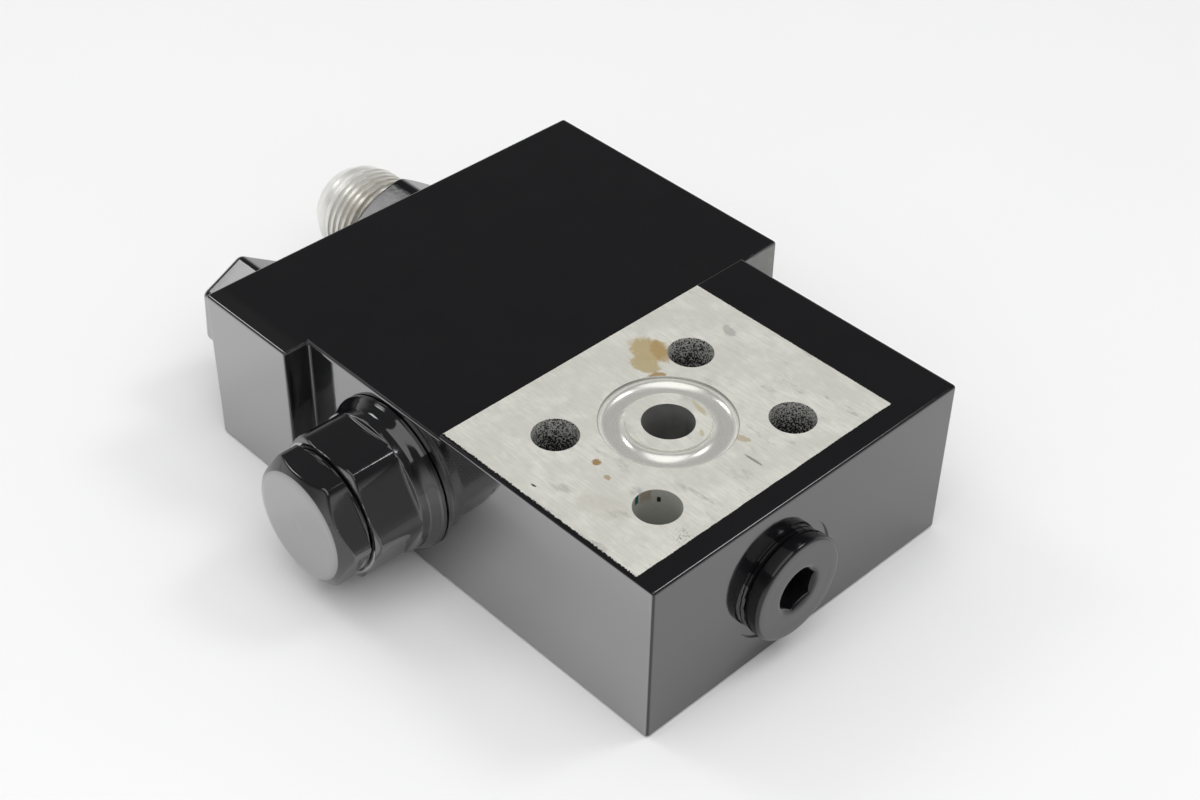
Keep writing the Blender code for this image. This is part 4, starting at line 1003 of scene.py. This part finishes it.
# Relief cartridge, its poppet, spring button, adjusting screw and lock nut: small steel
# parts turned about the relief bore's axis, under the relief cap.
relief_centre = (0.0, 1000 * relief_y, 1000 * bore_z)
relief_pieces = {
    "relief_cartridge": ((0.5, 0.5, 0.49), 0.32),
    "relief_poppet": ((0.6, 0.6, 0.6), 0.2),
    "relief_spring_button": ((0.5, 0.5, 0.49), 0.3),
    "adjusting_screw": ((0.1, 0.1, 0.105), 0.36),
}
for name, (tint, shine) in relief_pieces.items():
    refinish(name, turned_steel(name + "_steel", "X", relief_centre, tint, shine))


def zinc_plate(name, axis, centre):
    """Bright zinc over turned steel, slightly cloudy."""
    material, tree, shader, place = start_finish(name)
    rings = steel_rings(tree, place, axis, centre, 0.35)
    cloud = noise(tree, place, 3.0, 4.0, 0.6)
    colour = blend_colour(tree, ramp(tree, cloud, 0.35, 0.7), (0.52, 0.52, 0.5), (0.66, 0.66, 0.64))
    rough = ramp(tree, cloud, 0.3, 0.7, 0.26, 0.38)
    relief = bumped(tree, rings, 0.00001, 0.6)
    connect(tree, shader, Base_Color=colour, Roughness=rough, Normal=relief, Metallic=1.0)
    return material


refinish("lock_nut", zinc_plate("lock_nut_zinc", "X", relief_centre))
return_centre = (1000 * return_x, 0.0, 1000 * bore_z)
refinish("return_plug", zinc_plate("return_plug_zinc", "Y", return_centre))


# Relief cap: a closed steel hexagon that screws over the relief adjuster against an
# O-ring, and was painted in place with the body.
relief_turn = 3.0
relief_half = 0.012
relief_hexagon = hexagon_reach(2 * relief_half, 0.002, relief_turn)
relief_cap_top = 0.018
relief_rim = 0.002


def rimmed(angle, radius, height):
    """The cap's hexagon, drawn in at its end as an even rounded rim."""
    rise = min(max(height - relief_cap_top + relief_rim, 0.0) / relief_rim, 1.0)
    return relief_hexagon(angle) - relief_rim * (1.0 - math.sqrt(1.0 - rise**2))


rim_heights = [relief_cap_top - relief_rim * (1.0 - math.cos(math.radians(9 * i))) for i in range(11)]
relief_cap_rows = [
    (0, relief_cap_top),
    (0.006, relief_cap_top),
    *[(relief_half, height, rimmed) for height in rim_heights],
    (relief_half, 0.0004, rimmed),
    (0.0087, 0.0003),
    (0.0087, -0.0021),
    (0.0097, -0.0024),
    (0.0097, -0.0065),
    (0.0079, -0.0065),
    (0.0079, 0.0145),
    (0, 0.01648),
]
painted_relief_cap = lathe("painted_relief_cap", relief_cap_rows, relief_seat, corner_columns(relief_turn))
coat(painted_relief_cap, fitting_enamel("relief_cap_enamel", "X", relief_centre, dimple=0.03))
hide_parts("relief_cap")
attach(painted_relief_cap, "valve")


# Flare adaptor: a hexagon screwed into the rear face and painted with the body. Its
# flare thread and nose were covered for painting and show bright zinc.
adaptor_turn = 5.0
adaptor_shape = milled_hexagon(0.03175, 0.0031, adaptor_turn)
thread_pitch = 0.002117
thread_crest, thread_root, thread_neck = 0.0135, 0.0125, 0.0119
thread_low, thread_top = 0.015, 0.028
nose_radius, nose_top = 0.0126, 0.0315
tip_radius = 0.01
tip_height = nose_top + (nose_radius - tip_radius) / math.tan(math.radians(37))


def flare_thread(angle, radius, height):
    """Radius of a rounded thread at an angle and height, run out at both ends."""
    phase = (height / thread_pitch - angle / (2 * math.pi)) % 1.0
    ridge = min(1.0, 2.4 * (1.0 - abs(2.0 * phase - 1.0)) ** 1.3)
    run_in = min(1.0, max(0.0, (height - thread_low - 0.0004) / 0.0014))
    run_out = min(1.0, max(0.0, (thread_top - 0.0003 - height) / 0.0014))
    ends = thread_neck + (thread_root - thread_neck) * run_in
    return ends + (thread_crest - thread_root) * ridge * min(run_in, run_out)


thread_steps = 110
thread_drops = [(thread_top - thread_low) * i / thread_steps for i in range(thread_steps + 1)]
line_bore = 0.00775
adaptor_face = 0.013
adaptor_rows = [
    (line_bore, tip_height),
    (tip_radius - 0.0006, tip_height),
    *arc((tip_radius - 0.0004, tip_height - 0.0007), 0.0007, 80, 40, 4),
    *arc((nose_radius - 0.0016, nose_top - 0.0013), 0.0016, 53, 0, 8),
    (nose_radius, thread_top + 0.0006),
    (nose_radius - 0.0002, thread_top + 0.0002),
    *[(thread_root, thread_top - drop, flare_thread) for drop in thread_drops],
    (thread_neck, 0.0149),
    (thread_neck, 0.0134),
    (0.0124, adaptor_face),
    *softened_rim(0.0155, adaptor_face, 0.001),
    *head_rows(0.0155, 0.0003, adaptor_face, adaptor_shape),
    (0.0121, 0.0003),
    (0.0121, -0.003),
    (0.0133, -0.0046),
    (0.0133, -0.0139),
    (0.012, -0.0155),
    (line_bore, -0.0155),
]


def adaptor_finish():
    """Zinc on the thread and nose, enamel on the hexagon, with a soft edge between."""
    material, tree, shader, place = start_finish("adaptor_zinc_and_enamel")
    paint, paint_rough, paint_relief = lay_enamel(tree, place)
    centre = (0.0, 1000 * adaptor_y, 1000 * bore_z)
    rings = steel_rings(tree, place, "X", centre, 0.35)
    cloud = noise(tree, place, 3.0, 4.0, 0.6)
    zinc = blend_colour(tree, ramp(tree, cloud, 0.35, 0.7), (0.86, 0.855, 0.815), (0.92, 0.915, 0.885))
    x = coordinates(tree, place)[0]
    rear = 1000 * rear_x
    dirt = ramp(tree, x, rear - 30.0, rear - 16.0)
    dirt = maths(tree, "MULTIPLY", dirt, ramp(tree, cloud, 0.3, 0.6, 0.3, 0.8))
    zinc = blend_colour(tree, dirt, zinc, (0.5, 0.46, 0.38))
    edge = maths(tree, "MULTIPLY_ADD", noise(tree, place, 1.2, 3.0), 0.8, x)
    bare = ramp(tree, edge, rear - 13.2, rear - 13.5)
    zinc_relief = bumped(tree, rings, 0.00001, 0.6)
    connect(
        tree,
        shader,
        Base_Color=blend_colour(tree, bare, paint, zinc),
        Roughness=blend_value(tree, bare, paint_rough, ramp(tree, cloud, 0.3, 0.7, 0.34, 0.44)),
        Metallic=maths(tree, "MULTIPLY", bare, 0.55),
        Coat_Weight=maths(tree, "MULTIPLY", gloss(tree, shader), maths(tree, "SUBTRACT", 1.0, bare)),
        Normal=blend_relief(tree, bare, paint_relief, zinc_relief),
        Coat_Normal=paint_relief,
    )
    return material


adaptor_columns = corner_columns(adaptor_turn)
threaded_adaptor = lathe("threaded_adaptor", adaptor_rows, adaptor_seat, adaptor_columns, closed=True)
coat(threaded_adaptor, adaptor_finish())
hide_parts("flare_adaptor")
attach(threaded_adaptor, "valve")


# Socket plug: a round-headed screw plug that closes the gallery. Its rim, socket and
# the sealing ring under its head are softened by the same coat of paint.
plug_turn = 47.0
collar_radius = 0.01365
collar_low, collar_top = 0.001, 0.005
socket_depth = 0.007
socket_reach = hexagon_reach(0.01, 0.0005, plug_turn)
socket_floor = collar_top - socket_depth


def socket_shape(angle, radius, height):
    """Radius of the hexagon hole, softened into its turned mouth."""
    return -softened(-socket_reach(angle), -radius, 0.0007)


mouth_radius, mouth_fall, mouth_drop = 0.0069, 0.0021, 0.0011
mouth_shares = [i / 18 for i in range(19)]
plug_rows = [
    (0.0115, collar_top),
    (0.0092, collar_top),
    (0.0075, collar_top),
    *[(mouth_radius - mouth_fall * s, collar_top - mouth_drop * s**1.6, socket_shape) for s in mouth_shares],
    (0.0045, collar_top - 0.003, socket_shape),
    (0.0045, socket_floor + 0.0003, socket_shape),
    (0.0047, socket_floor),
    (0.0024, socket_floor - 0.0013),
    (0, socket_floor - 0.0025),
]
plug_outer = [
    (0, -0.012),
    (0.0095, -0.012),
    (0.0107, -0.0111),
    (0.0107, collar_low),
    (0.0133, collar_low),
    *arc((collar_radius - 0.0004, collar_low + 0.0004), 0.0004, -80, 0, 4),
    *arc((collar_radius - 0.001, collar_top - 0.001), 0.001, 0, 90, 9),
]
painted_plug = lathe("painted_plug", plug_outer + plug_rows, plug_seat, corner_columns(plug_turn))
plug_centre = (0.0, 1000 * gallery_y, 1000 * gallery_z)
plug_enamel = fitting_enamel("plug_enamel", "X", plug_centre, coat_index=2.6, left_face_sheen=0.0, other_face_sheen=0.0)
coat(painted_plug, plug_enamel)
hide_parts("socket_plug")
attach(painted_plug, "valve")
refinish("plug_seal_ring", seal_finish)


# Studio: a pale floor, a white surround that reflections see go dark overhead, and three
# soft boxes: a large one above, one behind the valve and a key from the far right.
def floor_finish():
    """Smooth pale paint without a shine."""
    material, tree, shader, place = start_finish("pale_floor")
    cloud = noise(tree, place, 90.0, 3.0)
    colour = blend_colour(tree, cloud, (0.88, 0.88, 0.88), (0.9, 0.9, 0.9))
    connect(tree, shader, Base_Color=colour, Roughness=0.75, Specular_IOR_Level=0.0)
    return material


floor_mesh = bpy.data.meshes.new("floor")
floor_mesh.from_pydata([(-4, -4, 0), (4, -4, 0), (4, 4, 0), (-4, 4, 0)], [], [(0, 1, 2, 3)])
floor_mesh.materials.append(floor_finish())
studio_floor = bpy.data.objects.new("studio_floor", floor_mesh)
bpy.context.scene.collection.objects.link(studio_floor)

surround = bpy.data.worlds.new("studio_surround")
bpy.context.scene.world = surround
surround.use_nodes = True
sky = surround.node_tree
backing = sky.nodes["Background"]
upward = coordinates(sky, node(sky, "TexCoord").outputs["Generated"])[2]
overhead = ramp(sky, upward, 0.1, 0.5, 0.9, 0.1)
sky_rays = node(sky, "LightPath")
level = blend_value(sky, sky_rays.outputs["Is Glossy Ray"], 0.63, overhead)
level = blend_value(sky, sky_rays.outputs["Is Camera Ray"], level, 1.0)
connect(sky, backing, Color=(1, 1, 1, 1), Strength=level)

soft_boxes = [
    ("overhead_box", (0.32, -0.38, 1.0), 1.2, 5.4),
    ("rear_box", (-1.0, -0.3, 1.0), 0.36, 1.9),
    ("key_box", (0.57, 1.19, 1.8), 0.5, 6.0),
]
for name, place, size, power in soft_boxes:
    soft_box = bpy.data.lights.new(name, "AREA")
    soft_box.shape = "SQUARE"
    soft_box.size = size
    soft_box.energy = power
    lamp = bpy.data.objects.new(name, soft_box)
    lamp.location = place
    if name != "overhead_box":
        lamp.rotation_euler = Vector(place).to_track_quat("Z", "Y").to_euler()
    bpy.context.scene.collection.objects.link(lamp)


# Camera: a long lens above the front corner, as in the photograph. Its place and axes
# were solved from the block's edges.
camera_place = Vector((0.23272, -0.25165, 0.33750))
camera_right = Vector((0.69293, 0.72083, 0.01584))
camera_forward = Vector((-0.54562, 0.53861, -0.64203))
lens = bpy.data.cameras.new("camera")
lens.sensor_width = 36.0
lens.lens = 59.57
lens.clip_start, lens.clip_end = 0.01, 20.0
camera = bpy.data.objects.new("camera", lens)
camera_up = camera_right.cross(camera_forward)
camera_axes = Matrix((camera_right, camera_up, -camera_forward)).transposed()
camera.matrix_world = Matrix.Translation(camera_place) @ camera_axes.to_4x4()
bpy.context.scene.collection.objects.link(camera)
bpy.context.scene.camera = camera
bpy.context.scene.view_settings.view_transform = "Standard"
